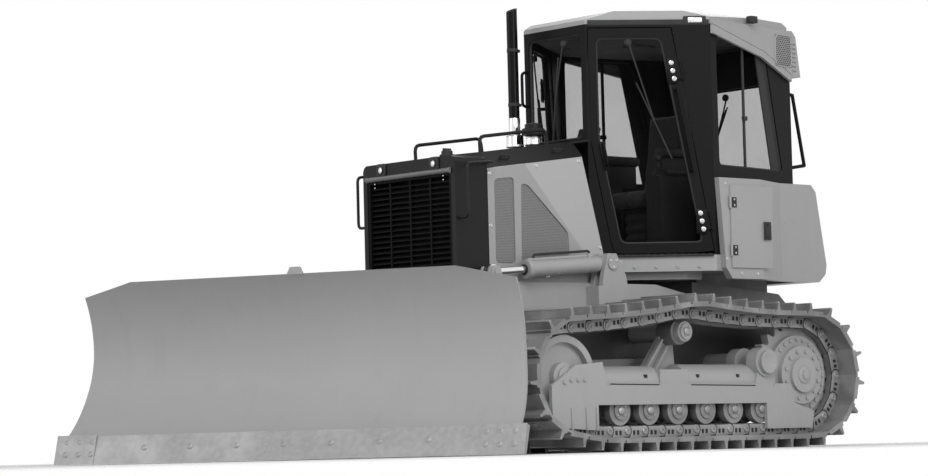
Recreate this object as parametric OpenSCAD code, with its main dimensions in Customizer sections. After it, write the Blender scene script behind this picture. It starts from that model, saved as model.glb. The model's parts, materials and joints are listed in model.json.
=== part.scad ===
// Tracked bulldozer with a six-way blade, parked with the blade angled and lowered.
// Millimetres, +X forward, +Y to the machine's left, +Z up, ground at z = 0.

/* [Tracks] */
// centre distance of the two tracks
gauge = 1778; // [1500:1:2100]
// width of a track shoe
shoe_w = 510; // [400:1:620]
// sprocket axle to idler axle
track_len = 2235; // [2000:1:2500]
// pitch radius of the chain on the sprocket
sprocket_r = 360; // [330:1:390]
// pitch radius of the chain on the idler
idler_r = 315; // [280:1:340]
// length of one chain link
link_pitch = 160; // [145:1:190]
// pitch line to the rail's running face
rail_in = 35; // [28:1:42]
// pitch line to the outside of a shoe plate
shoe_out = 80; // [70:1:95]
// height of a grouser bar
grouser_h = 55; // [30:1:65]
// radius of a track roller
roller_r = 95; // [80:1:105]

/* [Blade] */
// width over the end bits
blade_w = 3290; // [2900:10:3600]
// height to the top edge
blade_h = 1172; // [1000:1:1300]
// angle of the blade to the machine
blade_angle = 25; // [0:1:25]
// depth of the curve of the moldboard
blade_dish = 212; // [150:1:240]
// thickness of the moldboard
blade_t = 22; // [14:1:30]
// angle pin to the cutting edge
blade_reach = 600; // [590:1:640]
// sprocket axle to the angle pin
pin_x = 3445; // [3430:1:3500]

/* [Body] */
// half width of the main frame
frame_hw = 500; // [460:1:505]
// height of the frame's top edge
frame_top = 1135; // [1110:1:1150]
// half width of the engine enclosure
hood_hw = 470; // [430:1:480]
// front of the radiator guard
nose_x = 2680; // [2640:1:2690]
// top of the radiator guard at the nose
nose_top = 1957; // [1930:1:1975]
// fall of the hood per unit of length
hood_fall = 0.132; // [0.11:0.001:0.14]
// height of the rails' middle line over the hood
rail_h = 103; // [90:1:120]
// height of the cab floor
floor_z = 1330; // [1310:1:1360]
// underside of the roof
roof_z = 2930; // [2850:1:3000]
// height of the tank's top
tank_top = 1860; // [1780:1:1900]

/* [Cylinders] */
// radius of a lift cylinder's barrel
lift_r = 54; // [45:1:56]
// radius of an angle cylinder's barrel
angle_r = 48; // [40:1:52]
// radius of the tilt cylinder's barrel
tilt_r = 45; // [38:1:50]

/* [Hidden] */
$fn = 48;

fit = 0.3;
yc = gauge / 2;
tip_out = shoe_out + grouser_h;
axle_z = sprocket_r + tip_out;
run_z = tip_out;
idler_z = axle_z - 5;
rear_x = -683;
blade_x = pin_x + blade_reach * cos(blade_angle);
blade_y = blade_reach * sin(blade_angle);
hood_flat = 365;
hood_front = 2400;
hood_rear = 1530;
edge_h = 180;
edge_in = -80;
top_in = -156;
front_x = blade_x + blade_w / 2 * sin(blade_angle) + 4 * cos(blade_angle);
x0 = -(front_x + rear_x) / 2;
y0 = -blade_y - (edge_in - 26) / 2 * sin(blade_angle);

// chain path: sprocket, front roller, idler, carrier roller as circles [x, z, pitch radius]
carrier_r = 90;
carrier_x = 1120;
carrier_z = axle_z + sprocket_r - carrier_r + 25;
pulleys = [[0, axle_z, sprocket_r], [track_len - 285, run_z + roller_r + rail_in, roller_r + rail_in],
  [track_len, idler_z, idler_r], [carrier_x, carrier_z, carrier_r + rail_in]];
function dirto(a, b) = atan2(b[1] - a[1], b[0] - a[0])
  + asin((a[2] - b[2]) / norm([b[0] - a[0], b[1] - a[1]]));
heads = [for (i = [0:3]) dirto(pulleys[i], pulleys[(i + 1) % 4])];
function edge_pt(i, t) = [pulleys[i][0] + pulleys[i][2] * sin(t), pulleys[i][1] - pulleys[i][2] * cos(t)];
function line_len(i) = norm(edge_pt((i + 1) % 4, heads[i]) - edge_pt(i, heads[i]));
function wrap(i) = (heads[i] - heads[(i + 3) % 4] + 720) % 360;
function arc_len(i) = wrap(i) * PI / 180 * pulleys[i][2];
loop_len = line_len(0) + line_len(1) + line_len(2) + line_len(3)
  + arc_len(0) + arc_len(1) + arc_len(2) + arc_len(3);
shoes = round(loop_len / link_pitch);
step = loop_len / shoes;
sag = 22;
function dip(i, s) = i < 2 ? 0 : sag * 4 * s / line_len(i) * (1 - s / line_len(i));
function on_line(i, s) = [edge_pt(i, heads[i])[0] + s * cos(heads[i]),
  edge_pt(i, heads[i])[1] + s * sin(heads[i]) - dip(i, s),
  heads[i] + (i < 2 ? 0 : atan(4 * sag / line_len(i) * (1 - 2 * s / line_len(i))))];
function on_arc(i, s) = let (t = heads[(i + 3) % 4] + s / pulleys[i][2] * 180 / PI)
  [edge_pt(i, t)[0], edge_pt(i, t)[1], t];
function chain_at(s, k = 0) = let (i = floor(k / 2) % 4, j = (i + 1) % 4)
  k > 7 ? on_line(0, 0)
  : k % 2 == 0 ? (s <= line_len(i) ? on_line(i, s) : chain_at(s - line_len(i), k + 1))
  : (s <= arc_len(j) ? on_arc(j, s) : chain_at(s - arc_len(j), k + 1));
pins = [for (k = [0:shoes - 1]) chain_at((k + 0.5) * step)];
function off_pin(k, a) = [pins[k % shoes][0] + a * sin(pins[k % shoes][2]),
  pins[k % shoes][1] - a * cos(pins[k % shoes][2])];
function shoe_pt(k, a, b) = let (p = [pins[k][0], pins[k][1]], q = [pins[(k + 1) % shoes][0],
  pins[(k + 1) % shoes][1]], t = (q - p) / norm(q - p)) p + t * a + [t[1], -t[0]] * b;
function shoe_len(k) = norm([pins[(k + 1) % shoes][0] - pins[k][0], pins[(k + 1) % shoes][1] - pins[k][1]]);
function shoe_outline(k) = let (n = shoe_len(k)) [shoe_pt(k, 4, shoe_out - 18), shoe_pt(k, 4, shoe_out),
  shoe_pt(k, 18, shoe_out), shoe_pt(k, 24, tip_out), shoe_pt(k, 40, tip_out), shoe_pt(k, 50, shoe_out),
  shoe_pt(k, n - 4, shoe_out), shoe_pt(k, n - 4, shoe_out - 18)];
track_outline = [for (k = [0:shoes - 1]) each shoe_outline(k)];
half_step = step / idler_r * 90 / PI;
idler_tread = (idler_r - rail_in) * cos(half_step) - 1;

// blade lift linkage in the x-z plane
lift_y = 560;
arm_y = 515;
arm_t = 90;
trunnion = [1100, 550];
lift_base = [1425, 1266];
lift_eye = [2468, 1190];
lift_len = norm(lift_eye - lift_base);
lift_tilt = atan2(lift_eye[1] - lift_base[1], lift_eye[0] - lift_base[0]);
lift_stroke = 206;

// angle yoke and cylinders in plan
angle_z = 460;
angle_base = [2860, 300];
hub_back = -405;
yoke_bar = blade_reach + hub_back - 20;
nose_r = min(95, blade_reach + hub_back - 12);
yoke_eye = [yoke_bar - 135, 330];
function turned(p, a) = [p[0] * cos(a) - p[1] * sin(a), p[0] * sin(a) + p[1] * cos(a)];
eye_left = [pin_x, 0] + turned(yoke_eye, blade_angle);
eye_right = [pin_x, 0] + turned([yoke_eye[0], -yoke_eye[1]], blade_angle);
far_left = [pin_x, 0] + turned(yoke_eye, -blade_angle);
len_left = norm(eye_left - angle_base);
len_right = norm(eye_right - [angle_base[0], -angle_base[1]]);
angle_stroke = len_right - len_left;

// tilt cylinder behind the blade, in the blade's own axes
tilt_z = 800;
tilt_q = -545;
tilt_base = -300;
tilt_eye = 420;
ear_gap = 26;

// cab plan
cab_f = [1325, 310];
cab_b = [600, 800];
cab_c = [-390, 620];
door_len = norm(cab_b - cab_f);
door_dir = atan2(cab_b[1] - cab_f[1], cab_b[0] - cab_f[0]);
side_len = norm(cab_c - cab_b);
side_dir = atan2(cab_c[1] - cab_b[1], cab_c[0] - cab_b[0]);
wall = 60;
door_t = 45;
door_lean = (860 - 600) / (2900 - 1345);
pane_r = 48;
door_top = roof_z - 30;
door_low = floor_z + 15;
grip_z = roof_z - 450;
loop_z = roof_z - 410;
function bend(a, p, b, r, n) = let (q = p + (a - p) / norm(a - p) * r, w = p + (b - p) / norm(b - p) * r)
  [for (k = [0:n]) let (t = k / n) q * (1 - t) * (1 - t) + p * 2 * t * (1 - t) + w * t * t];
function eased(pts, r, n = 4) = let (m = len(pts))
  [for (i = [0:m - 1]) for (q = bend(pts[(i + m - 1) % m], pts[i], pts[(i + 1) % m], r, n)) q];
function bent(pts, r, n = 3) = let (m = len(pts)) concat([pts[0]],
  [for (i = [1:m - 2]) for (q = bend(pts[i - 1], pts[i], pts[i + 1], r, n)) q], [pts[m - 1]]);
function door_rear(z) = 860 - (z - door_low) * door_lean;
function door_pts(g) = [[20 - g, door_top + g], [20 - g, 2150], [150 - g, door_low + 55], [175, door_low - g],
  [door_rear(door_low) + g, door_low - g], [door_rear(door_top) + g, door_top + g]];
function pane_pts(g) = eased([[75 - g, door_top - 70 + g], [75 - g, 2140], [210 - g, door_low + 70 - g],
  [door_rear(door_low) - 75 + g, door_low + 70 - g],
  [door_rear(door_top) - 70 + g, door_top - 70 + g]], pane_r);
function side_pane(g) = eased([[70 - g, door_top - 50 + g], [70 - g, tank_top + 90 - g],
  [side_len - 130 + g, tank_top + 90 - g], [side_len - 330 + g, door_top - 50 + g]], pane_r);
function hex(d) = [[cab_f[0] + d * 0.6, cab_f[1] + d * 0.4], [cab_b[0] + d * 0.25, cab_b[1] + d],
  [cab_c[0] - d, cab_c[1] + d], [cab_c[0] - d, -cab_c[1] - d],
  [cab_b[0] + d * 0.25, -cab_b[1] - d], [cab_f[0] + d * 0.6, -cab_f[1] - d * 0.4]];

module slab_y(pts, y0, y1) {
  translate([0, y1, 0]) rotate([90, 0, 0]) linear_extrude(y1 - y0) polygon(pts);
}
module slab_x(pts, xa, xb) {
  translate([xa, 0, 0]) rotate([90, 0, 90]) linear_extrude(xb - xa) polygon(pts);
}
module box(xa, xb, ya, yb, za, zb) {
  translate([xa, ya, za]) cube([xb - xa, yb - ya, zb - za]);
}
module rod_y(r, x, z, ya, yb) {
  translate([x, yb, z]) rotate([90, 0, 0]) cylinder(r = r, h = yb - ya);
}
module rod_x(r, xa, xb, y, z) {
  translate([xa, y, z]) rotate([0, 90, 0]) cylinder(r = r, h = xb - xa);
}
module rod_z(r, x, y, za, zb) {
  translate([x, y, za]) cylinder(r = r, h = zb - za);
}
module bar(a, b, r) {
  d = b - a;
  translate(a) rotate([0, acos(d[2] / norm(d)), atan2(d[1], d[0])]) cylinder(r = r, h = norm(d), $fn = 16);
}
module rail(path, r) {
  for (k = [0:len(path) - 2]) {
    d = (path[k + 1] - path[k]) / norm(path[k + 1] - path[k]) * r / 3;
    bar(path[k] - (k > 0 ? d : 0 * d), path[k + 1] + (k < len(path) - 2 ? d : 0 * d), r);
  }
}
module placed(side = 1) {
  translate([x0, y0, 0]) mirror([0, side < 0 ? 1 : 0, 0]) children();
}
module on_blade() {
  translate([pin_x, 0, 0]) rotate([0, 0, blade_angle]) translate([blade_reach, 0, 0]) children();
}
module on_door() {
  translate([cab_f[0], cab_f[1], 0]) rotate([0, 0, door_dir]) children();
}
module on_side() {
  translate([cab_b[0], cab_b[1], 0]) rotate([0, 0, side_dir]) children();
}

module lift_bracket() {
  difference() {
    union() {
      slab_y([[1250, 930], [1300, 1180], [1385, 1330], [1465, 1330], [1510, 1180],
        [1560, 930]], lift_y + 25, lift_y + 62);
      slab_y([[1250, 930], [1300, 1180], [1385, 1330], [1465, 1330], [1510, 1180],
        [1560, 930]], frame_hw - 2, lift_y - 25);
      slab_y([[1250, 930], [1285, 1110], [1560, 1110], [1560, 930]], frame_hw - 2, lift_y + 62);
    }
    rod_y(72, lift_base[0], lift_base[1], lift_y - 25, lift_y + 25);
  }
  rod_y(28, lift_base[0], lift_base[1], lift_y - 30, lift_y + 40);
  rod_y(46, lift_base[0], lift_base[1], lift_y + 50, lift_y + 74);
}

module main_frame() {
  color([0.62, 0.62, 0.62]) placed() {
    for (s = [0, 1]) mirror([0, s, 0]) {
      slab_y([[-400, 560], [-400, 980], [520, 1060], [900, frame_top], [2500, frame_top], [2500, 800],
        [2330, 560]], frame_hw - 45, frame_hw);
      lift_bracket();
      rod_y(44, trunnion[0], trunnion[1], frame_hw - 20, arm_y + arm_t + 12);
      rod_y(66, trunnion[0], trunnion[1], frame_hw - 20, arm_y - 6);
    }
    box(520, 2330, -frame_hw + 40, frame_hw - 40, 530, 560);
    box(2400, 2500, -frame_hw + 40, frame_hw - 40, 800, frame_top);
    slab_y([[2330, 530], [2330, 560], [2470, 800], [2500, 800]], -frame_hw + 40, frame_hw - 40);
    box(1450, 1540, -frame_hw + 40, frame_hw - 40, 555, engine_low);
    box(2120, 2210, -frame_hw + 40, frame_hw - 40, 555, engine_low);
    box(620, 700, -frame_hw + 40, frame_hw - 40, 555, 1080);
  }
}

module rear_case() {
  color([0.55, 0.55, 0.55]) placed() {
    slab_y([[-420, 600], [-470, 700], [-470, 1010], [-380, 1090], [380, 1160], [500, 1160], [500, 500],
      [-300, 500]], -frame_hw + 45, frame_hw - 45);
    difference() {
      box(-520, -465, -220, 220, 620, 900);
      for (y = [-180, 180], z = [810, 870]) {
        rod_x(11, -525, -480, y, z);
      }
    }
    difference() {
      box(-640, -515, -90, 90, 640, 760);
      box(-650, -545, -100, 100, 675, 725);
      rod_z(22, -590, 0, 600, 800);
    }
    box(-300, 420, -frame_hw + 80, frame_hw - 80, 1090, 1220);
  }
}

engine_low = 700;
module engine_block() {
  color([0.3, 0.3, 0.3]) placed() {
    box(1400, 2310, -270, 270, engine_low, 1560);
  }
}

module radiator_guard() {
  color([0.2, 0.2, 0.2]) placed() {
    difference() {
      intersection() {
        slab_y([[hood_front, frame_top], [hood_front, hood_top(hood_front)], [nose_x, nose_top],
          [nose_x, frame_top]],
          -hood_hw, hood_hw);
        slab_x([[-hood_hw, frame_top], [-hood_hw, nose_top - 40], [-hood_hw + 12, nose_top - 14],
          [-hood_hw + 36, nose_top],
          [-hood_hw + 70, nose_top + 60], [hood_hw - 70, nose_top + 60], [hood_hw - 36, nose_top],
          [hood_hw - 12, nose_top - 14],
          [hood_hw, nose_top - 40], [hood_hw, frame_top]], hood_front, nose_x);
      }
      box(2520, nose_x + 5, -430, 430, frame_top + 80, 1850);
      box(2390, 2470, -430, 430, frame_top + 40, 1860);
    }
    for (s = [-1, 1]) {
      rod_x(34, nose_x - 20, nose_x + 10, s * 270, nose_top - 44);
      rail(bent([[2424, s * (hood_hw - 15), 1912], [2424, s * 562, 1912], [nose_x - 26, s * 562, 1893],
        [nose_x - 26, s * 562, 1545], [nose_x - 26, s * (hood_hw - 6), 1545]], 34), 10);
    }
  }
}

louvres = 16;
louvre_pitch = 36;
module grille() {
  color([0.1, 0.1, 0.1]) placed() {
    difference() {
      box(nose_x - 50, nose_x - 4, -430, 430, frame_top + 80, 1850);
      box(nose_x - 60, nose_x, -405, 405, frame_top + 105, 1825);
    }
    for (y = [-205, 0, 205]) {
      box(nose_x - 46, nose_x - 12, y - 7, y + 7, frame_top + 100, 1830);
    }
    for (k = [0:louvres - 1]) {
      z = frame_top + 112 + k * louvre_pitch;
      slab_y([[nose_x - 44, z + 22], [nose_x - 44, z + 28], [nose_x - 14, z + 6],
        [nose_x - 14, z]], -410, 410);
    }
  }
}

function hood_top(x) = 2104 - (x - 1547) * hood_fall;
function shield_top(x) = 1992 - (x - 1547) * hood_fall;
module hood_section(x, t, d) {
  translate([x, 0, 0]) rotate([90, 0, 90]) linear_extrude(t)
    polygon([[-hood_hw + d, shield_top(x) - 2 * d], [-hood_flat + d / 2, hood_top(x) - d],
      [hood_flat - d / 2, hood_top(x) - d], [hood_hw - d, shield_top(x) - 2 * d]]);
}
// hand rail along the hood, bent at its ends
module hood_rail(s) {
  y = s * 330;
  rail(bent([[2330, y, hood_top(2330) - 10], [2335, y, hood_top(2335) + rail_h],
    [1740, y, hood_top(1740) + rail_h],
    [1725, y, hood_top(1725) - 10]], 42), 12);
}
// air cleaner bowl and cap on the hood
cleaner = [1490, -60];
module hood() {
  color([0.24, 0.24, 0.24]) placed() {
    difference() {
      hull() {
        hood_section(1345, 1, 0);
        hood_section(hood_front - 1, 1, 0);
      }
      hull() {
        hood_section(1325, 1, 14);
        hood_section(hood_front + 10, 1, 14);
      }
      for (s = [0, 1]) mirror([0, s, 0]) {
        box(1300, hood_rear, hood_flat - 22, hood_hw + 10, 1800, 2300);
      }
    }
    for (s = [-1, 1]) hood_rail(s);
    rod_z(56, cleaner[0], cleaner[1], hood_top(cleaner[0]) - 12, hood_top(cleaner[0]) + 80);
    rod_z(76, cleaner[0], cleaner[1], hood_top(cleaner[0]) + 78, hood_top(cleaner[0]) + 124);
    rod_z(58, cleaner[0], cleaner[1], hood_top(cleaner[0]) + 122, hood_top(cleaner[0]) + 150);
  }
}

stack_x = 1490;
stack_y = -250;
module side_shield() {
  difference() {
    slab_y([[hood_front, frame_top], [hood_front, shield_top(hood_front) - 1],
      [hood_rear + 8, shield_top(hood_rear + 8) - 1], [1360, 1335],
      [1360, frame_top]], hood_hw - 22, hood_hw);
    slab_y(eased([[2164, 1252], [2164, 1830], [2339, 1812], [2339, 1252]], 36), hood_hw - 12, hood_hw + 5);
    slab_y(eased([[2100, 1790], [2040, 1785], [1682, 1474], [1674, 1276],
      [2110, 1267]], 28), hood_hw - 12, hood_hw + 5);
  }
}
module side_shield_left() {
  color([0.66, 0.66, 0.66]) placed() side_shield();
}
module side_shield_right() {
  color([0.66, 0.66, 0.66]) placed(-1) side_shield();
}

module exhaust_stack() {
  color([0.15, 0.15, 0.15]) placed() difference() {
    union() {
      rod_z(60, stack_x, stack_y, hood_top(stack_x) + 60 * hood_fall + fit, hood_top(stack_x) + 90);
      rod_z(38, stack_x, stack_y, hood_top(stack_x) + 20, 3110);
    }
    rod_z(33, stack_x, stack_y, hood_top(stack_x) + 110, 3200);
    slab_y([[stack_x - 60, 3110], [stack_x + 60, 3060], [stack_x + 60, 3200],
      [stack_x - 60, 3200]], stack_y - 80, stack_y + 80);
  }
}

deck_low = 1220;
module cab_floor() {
  color([0.62, 0.62, 0.62]) placed() {
    translate([0, 0, deck_low]) linear_extrude(floor_z - deck_low) polygon(hex(0));
    translate([0, 0, deck_low - 50]) linear_extrude(60) polygon([[1180, 300], [700, 610], [560, 610],
      [560, -610], [700, -610],
      [1180, -300]]);
  }
}

module front_pane(g) {
  slab_x(eased([[-cab_f[1] + 45 - g, roof_z - 60 + g], [cab_f[1] - 45 + g, roof_z - 60 + g],
    [cab_f[1] - 45 + g, 2150 - g],
    [-cab_f[1] + 45 - g, 2150 - g]], pane_r), cab_f[0] - wall - 5, cab_f[0] + 5);
}
module rear_pane(g) {
  slab_x(eased([[-480 - g, roof_z - 330 + g], [480 + g, roof_z - 330 + g], [480 + g, tank_top + 90 - g],
    [-480 - g, tank_top + 90 - g]], pane_r), cab_c[0] - 5, cab_c[0] + wall + 5);
}
module cab_frame() {
  color([0.12, 0.12, 0.12]) placed() {
    difference() {
      translate([0, 0, floor_z]) linear_extrude(roof_z - floor_z) polygon(hex(0));
      translate([0, 0, floor_z - 1]) linear_extrude(roof_z - floor_z + 2) polygon(hex(-wall));
      for (s = [0, 1]) mirror([0, s, 0]) {
        on_door() slab_y(door_pts(6), -40, wall + 60);
        on_side() slab_y(side_pane(0), -40, wall + 60);
      }
      front_pane(0);
      rear_pane(0);
    }
    for (s = [-1, 1]) {
      bar([cab_c[0] + 4, s * 590, loop_z], [cab_c[0] - 60, s * 590, loop_z - 10], 13);
      bar([cab_c[0] + 4, s * 590, 1985], [cab_c[0] - 160, s * 590, 2010], 13);
      bar([cab_c[0] - 54, s * 590, loop_z - 4], [cab_c[0] - 158, s * 590, 2004], 13);
    }
  }
}

module placed_door_pane(g, y0, y1) {
  on_door() slab_y(pane_pts(g), y0, y1);
}
module door() {
  on_door() {
    difference() {
      slab_y(door_pts(0), 0, door_t);
      slab_y(pane_pts(0), -5, door_t + 5);
      slab_y([[0, door_low - 5], [0, door_low + 3], [740, door_low + 3], [900, door_low + 18],
        [900, door_low - 5]], -5, door_t + 5);
    }
    for (z = [1560, roof_z - 330]) {
      bar([door_rear(z - 60) + 14, -14.4, z - 60], [door_rear(z + 60) + 14, -14.4, z + 60], 14);
      box(door_rear(z) - 75, door_rear(z) - 12, -14, 1, z - 55, z + 55);
      box(door_rear(z) - 20, door_rear(z) + 14, -22, -8, z - 55, z + 55);
    }
    bar([door_rear(1900) - 46, -52, 1900], [door_rear(grip_z) - 46, -52, grip_z], 12);
    for (z = [1910, grip_z - 10]) {
      bar([door_rear(z) - 46, 2, z], [door_rear(z) - 46, -54, z], 12);
    }
  }
}
module door_left() {
  color([0.12, 0.12, 0.12]) placed() door();
}
module door_right() {
  color([0.12, 0.12, 0.12]) placed(-1) door();
}
module door_glass_left() {
  color([0.4, 0.45, 0.5, 0.4]) placed() placed_door_pane(0, 18, 26);
}
module door_glass_right() {
  color([0.4, 0.45, 0.5, 0.4]) placed(-1) placed_door_pane(0, 18, 26);
}
module windscreen() {
  color([0.4, 0.45, 0.5, 0.4]) placed() intersection() {
    front_pane(0);
    box(cab_f[0] - 34, cab_f[0] - 26, -600, 600, 1000, 3000);
  }
}
module rear_glass() {
  color([0.4, 0.45, 0.5, 0.4]) placed() intersection() {
    rear_pane(0);
    box(cab_c[0] + 26, cab_c[0] + 34, -600, 600, 1000, 3000);
  }
}
module side_glass_left() {
  color([0.4, 0.45, 0.5, 0.4]) placed() on_side() slab_y(side_pane(0), 26, 34);
}
module side_glass_right() {
  color([0.4, 0.45, 0.5, 0.4]) placed(-1) on_side() slab_y(side_pane(0), 26, 34);
}

module roof() {
  color([0.66, 0.66, 0.66]) placed() {
    intersection() {
      translate([0, 0, roof_z]) linear_extrude(90) polygon(hex(-8));
      slab_x([[-830, roof_z], [-830, roof_z + 34], [-690, roof_z + 90], [690, roof_z + 90],
        [830, roof_z + 34],
        [830, roof_z]], -600, 1500);
      slab_y([[-420, roof_z], [-420, roof_z + 46], [-320, roof_z + 90], [1150, roof_z + 90],
        [1340, roof_z + 26],
        [1340, roof_z]], -900, 900);
    }
    for (s = [0, 1]) mirror([0, s, 0]) {
      on_side() slab_y([[0, roof_z + 30], [0, roof_z - 4], [640, roof_z - 140],
        [side_len, roof_z - 280], [side_len, roof_z + 30]], -24, 0);
      on_side() slab_y([[2, roof_z + 30], [2, roof_z + 1], [side_len, roof_z + 1],
        [side_len, roof_z + 30]], -12, 40);
    }
    difference() {
      slab_y([[-430, roof_z + 40], [-300, roof_z + 40], [-300, roof_z + 2], [cab_c[0] - 1, roof_z + 2],
        [cab_c[0] - 1, roof_z - 290], [-505, roof_z - 290], [-465, roof_z]], -620, 620);
      for (s = [-1, 1], k = [0:6]) {
        box(-460, -410, s * 620 - 8, s * 620 + 8, roof_z - 258 + k * 32, roof_z - 244 + k * 32);
      }
    }
    for (s = [-1, 1]) {
      rod_x(46, -480, -440, s * 470, roof_z - 340);
      box(-450, -415, s * 470 - 30, s * 470 + 30, roof_z - 350, roof_z - 285);
    }
  }
}

module seat() {
  color([0.2, 0.2, 0.2]) placed() {
    box(250, 700, -220, 220, 1720, 1820);
    slab_y([[250, 1800], [330, 1800], [230, 2420], [160, 2420]], -220, 220);
    box(330, 640, -160, 160, floor_z, 1725);
  }
}
module console() {
  color([0.2, 0.2, 0.2]) placed() {
    slab_y([[1150, floor_z], [1240, floor_z], [1240, 2050], [1180, 2120], [1080, 2060],
      [1100, 1980]], -200, 200);
    for (s = [-1, 1]) {
      box(420, 760, s * 360 - 70, s * 360 + 70, floor_z, 1900);
      rod_z(14, 700, s * 360, 1890, 2010);
      translate([700, s * 360, 2030]) sphere(r = 30);
      box(700, 1240, s * 280 - 30, s * 280 + 30, floor_z, floor_z + 40);
    }
    box(1150, 1240, -310, 310, floor_z, floor_z + 40);
    for (s = [-1, 1]) {
      box(600, 760, min(s * 250, s * 430), max(s * 250, s * 430), floor_z, floor_z + 40);
    }
  }
}

tank_y = 840;
module tank() {
  color([0.64, 0.64, 0.64]) placed() {
    difference() {
      union() {
        slab_y([[-628, 1225], [-640, 1290], [-548, tank_top - 50], [-500, tank_top], [-160, tank_top],
          [-160, 1165], [-560, 1165]], -690, 690);
        tank_sides();
      }
      translate([0, 0, 1000]) linear_extrude(1000) polygon(hex(0.2));
      slab_y([[120, 1260], [95, 1790], [455, 1790], [480, 1260]], tank_y - 30, tank_y + 5);
    }
    for (s = [-1, 1]) {
      bar([-550, s * 560, 1650], [-672, s * 560, 1650], 11);
      bar([-590, s * 560, 1420], [-672, s * 560, 1420], 11);
      bar([-672, s * 560, 1408], [-672, s * 560, 1662], 11);
    }
  }
}
module tank_sides() {
  difference() {
    slab_y([[-200, 1165], [-200, tank_top], [600, tank_top], [548, 1240], [490, 1165]], -tank_y, tank_y);
    for (s = [0, 1]) mirror([0, s, 0]) {
      linear_extrude(3000) polygon([[190, tank_y + 1], [-170, 690], [-300, 690], [-300, tank_y + 1]]);
    }
  }
}
module access_door() {
  color([0.64, 0.64, 0.64]) placed() {
    slab_y([[100, 1240], [75, 1810], [500, 1810], [500, 1240]], tank_y + 0.5, tank_y + 12);
    for (z = [1360, 1690]) {
      rod_z(9, 506, tank_y + 14, z - 40, z + 40);
    }
    box(120, 190, tank_y + 10, tank_y + 24, 1440, 1560);
  }
}

module track() {
  translate([0, yc, 0]) {
    difference() {
      slab_y(track_outline, -shoe_w / 2, shoe_w / 2);
      slab_y([for (k = [0:shoes - 1]) off_pin(k, shoe_out - 34)], -shoe_w, shoe_w);
    }
    for (s = [-1, 1]) difference() {
      slab_y([for (k = [0:shoes - 1]) off_pin(k, shoe_out - 26)], s * 72 - 22, s * 72 + 22);
      slab_y([for (k = [0:shoes - 1]) off_pin(k, -rail_in)], s * 72 - 40, s * 72 + 40);
    }
  }
}
module track_left() {
  color([0.4, 0.4, 0.4]) placed() track();
}
module track_right() {
  color([0.4, 0.4, 0.4]) placed(-1) track();
}

rail_z = run_z + rail_in;
roller_z = rail_z + roller_r;
beam_in = yc - 140;
beam_out = yc + 140;
skirt_t = 28;
pivot_x = 395;
pivot_z = roller_z + 320;
module track_frame() {
  slab_y([[400, roller_z + 104], [400, roller_z + 170], [track_len - 420, roller_z + 180],
    [track_len - 330, roller_z + 160],
    [track_len - 330, roller_z + 104]], beam_in, beam_out);
  for (y = [beam_in, beam_out - skirt_t]) {
    slab_y([[255, roller_z + 40], [255, roller_z + 150], [track_len - 340, roller_z + 168],
      [track_len - 300, roller_z + 320],
      [track_len - 60, roller_z + 300], [track_len + 100, roller_z + 200], [track_len + 155, roller_z + 170],
      [track_len + 155, roller_z + 40]], y, y + skirt_t);
    slab_y([[track_len - 255, roller_z + 45], [track_len + 155, roller_z + 45],
      [track_len + 150, rail_z + 60],
      [track_len + 60, rail_z - 10], [track_len - 255, rail_z - 30]], y, y + skirt_t);
  }
  slab_y([[-85, roller_z - 20], [110, roller_z + 40], [150, roller_z + 172], [300, roller_z + 172],
    [390, roller_z + 45],
    [390, rail_z - 40], [-60, rail_z - 40]], beam_out - skirt_t, beam_out);
  difference() {
    union() {
      rod_x(118, 470, 1150, yc, roller_z + 190);
      rod_x(118, 1390, track_len - 315, yc, roller_z + 180);
    }
    box(0, track_len, yc - 300, yc + 300, roller_z - 100, roller_z + 120);
  }
  box(1140, 1400, beam_in + 10, beam_out - 10, roller_z + 150, roller_z + 270);
  slab_y([[1040, roller_z + 262], [1060, carrier_z - 20], [1090, carrier_z + 30], [1160, carrier_z + 30],
    [1280, roller_z + 262]], beam_in + 15, beam_in + 50);
  slab_y([[1290, roller_z + 262], [1090, carrier_z + 10], [1150, carrier_z + 40], [1390, roller_z + 262]],
    beam_in + 45, beam_in + 75);
  rod_y(carrier_r - 22, carrier_x, carrier_z, beam_in + 110, yc + 96);
  rod_y(52, carrier_x, carrier_z, beam_in + 20, yc + 112);
  rod_y(60, carrier_x, carrier_z, frame_hw, beam_in + 40);
  rod_y(72, pivot_x, pivot_z, frame_hw, beam_in + 40);
  rod_y(100, pivot_x, pivot_z, beam_in, yc - 52);
  rod_y(100, pivot_x, pivot_z, yc + 52, beam_out + 8);
  rod_y(78, pivot_x, pivot_z, yc + 60, beam_out + 28);
  slab_y([[290, roller_z + 150], [310, pivot_z + 30], [430, pivot_z + 30],
    [500, roller_z + 150]], beam_in, yc - 60);
  slab_y([[290, roller_z + 150], [310, pivot_z + 30], [430, pivot_z + 30],
    [500, roller_z + 150]], yc + 60, beam_out - 6);
}
module track_frame_left() {
  color([0.64, 0.64, 0.64]) placed() track_frame();
}
module track_frame_right() {
  color([0.64, 0.64, 0.64]) placed(-1) track_frame();
}

module roller_bank() {
  for (k = [0:5]) {
    x = 415 + k * (track_len - 485 - 415) / 5;
    rod_y(roller_r, x, roller_z, yc - 100, yc - 45);
    rod_y(roller_r, x, roller_z, yc + 45, yc + 100);
    rod_y(roller_r - 22, x, roller_z, yc - 50, yc + 50);
    for (s = [-1, 1]) {
      rod_y(58, x, roller_z, yc + s * 106 - 6, yc + s * 106 + 6);
      box(x - 50, x + 50, yc + s * 106 - 6, yc + s * 106 + 6, roller_z, roller_z + 100);
    }
    box(x - 50, x + 50, yc - 112, yc + 112, roller_z + 96, roller_z + 104);
  }
  for (s = [-1, 1]) {
    box(365, track_len - 435, yc + s * 106 - 6, yc + s * 106 + 6, roller_z + 70, roller_z + 104);
  }
}
module roller_bank_left() {
  color([0.25, 0.25, 0.25]) placed() roller_bank();
}
module roller_bank_right() {
  color([0.25, 0.25, 0.25]) placed(-1) roller_bank();
}

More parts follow.
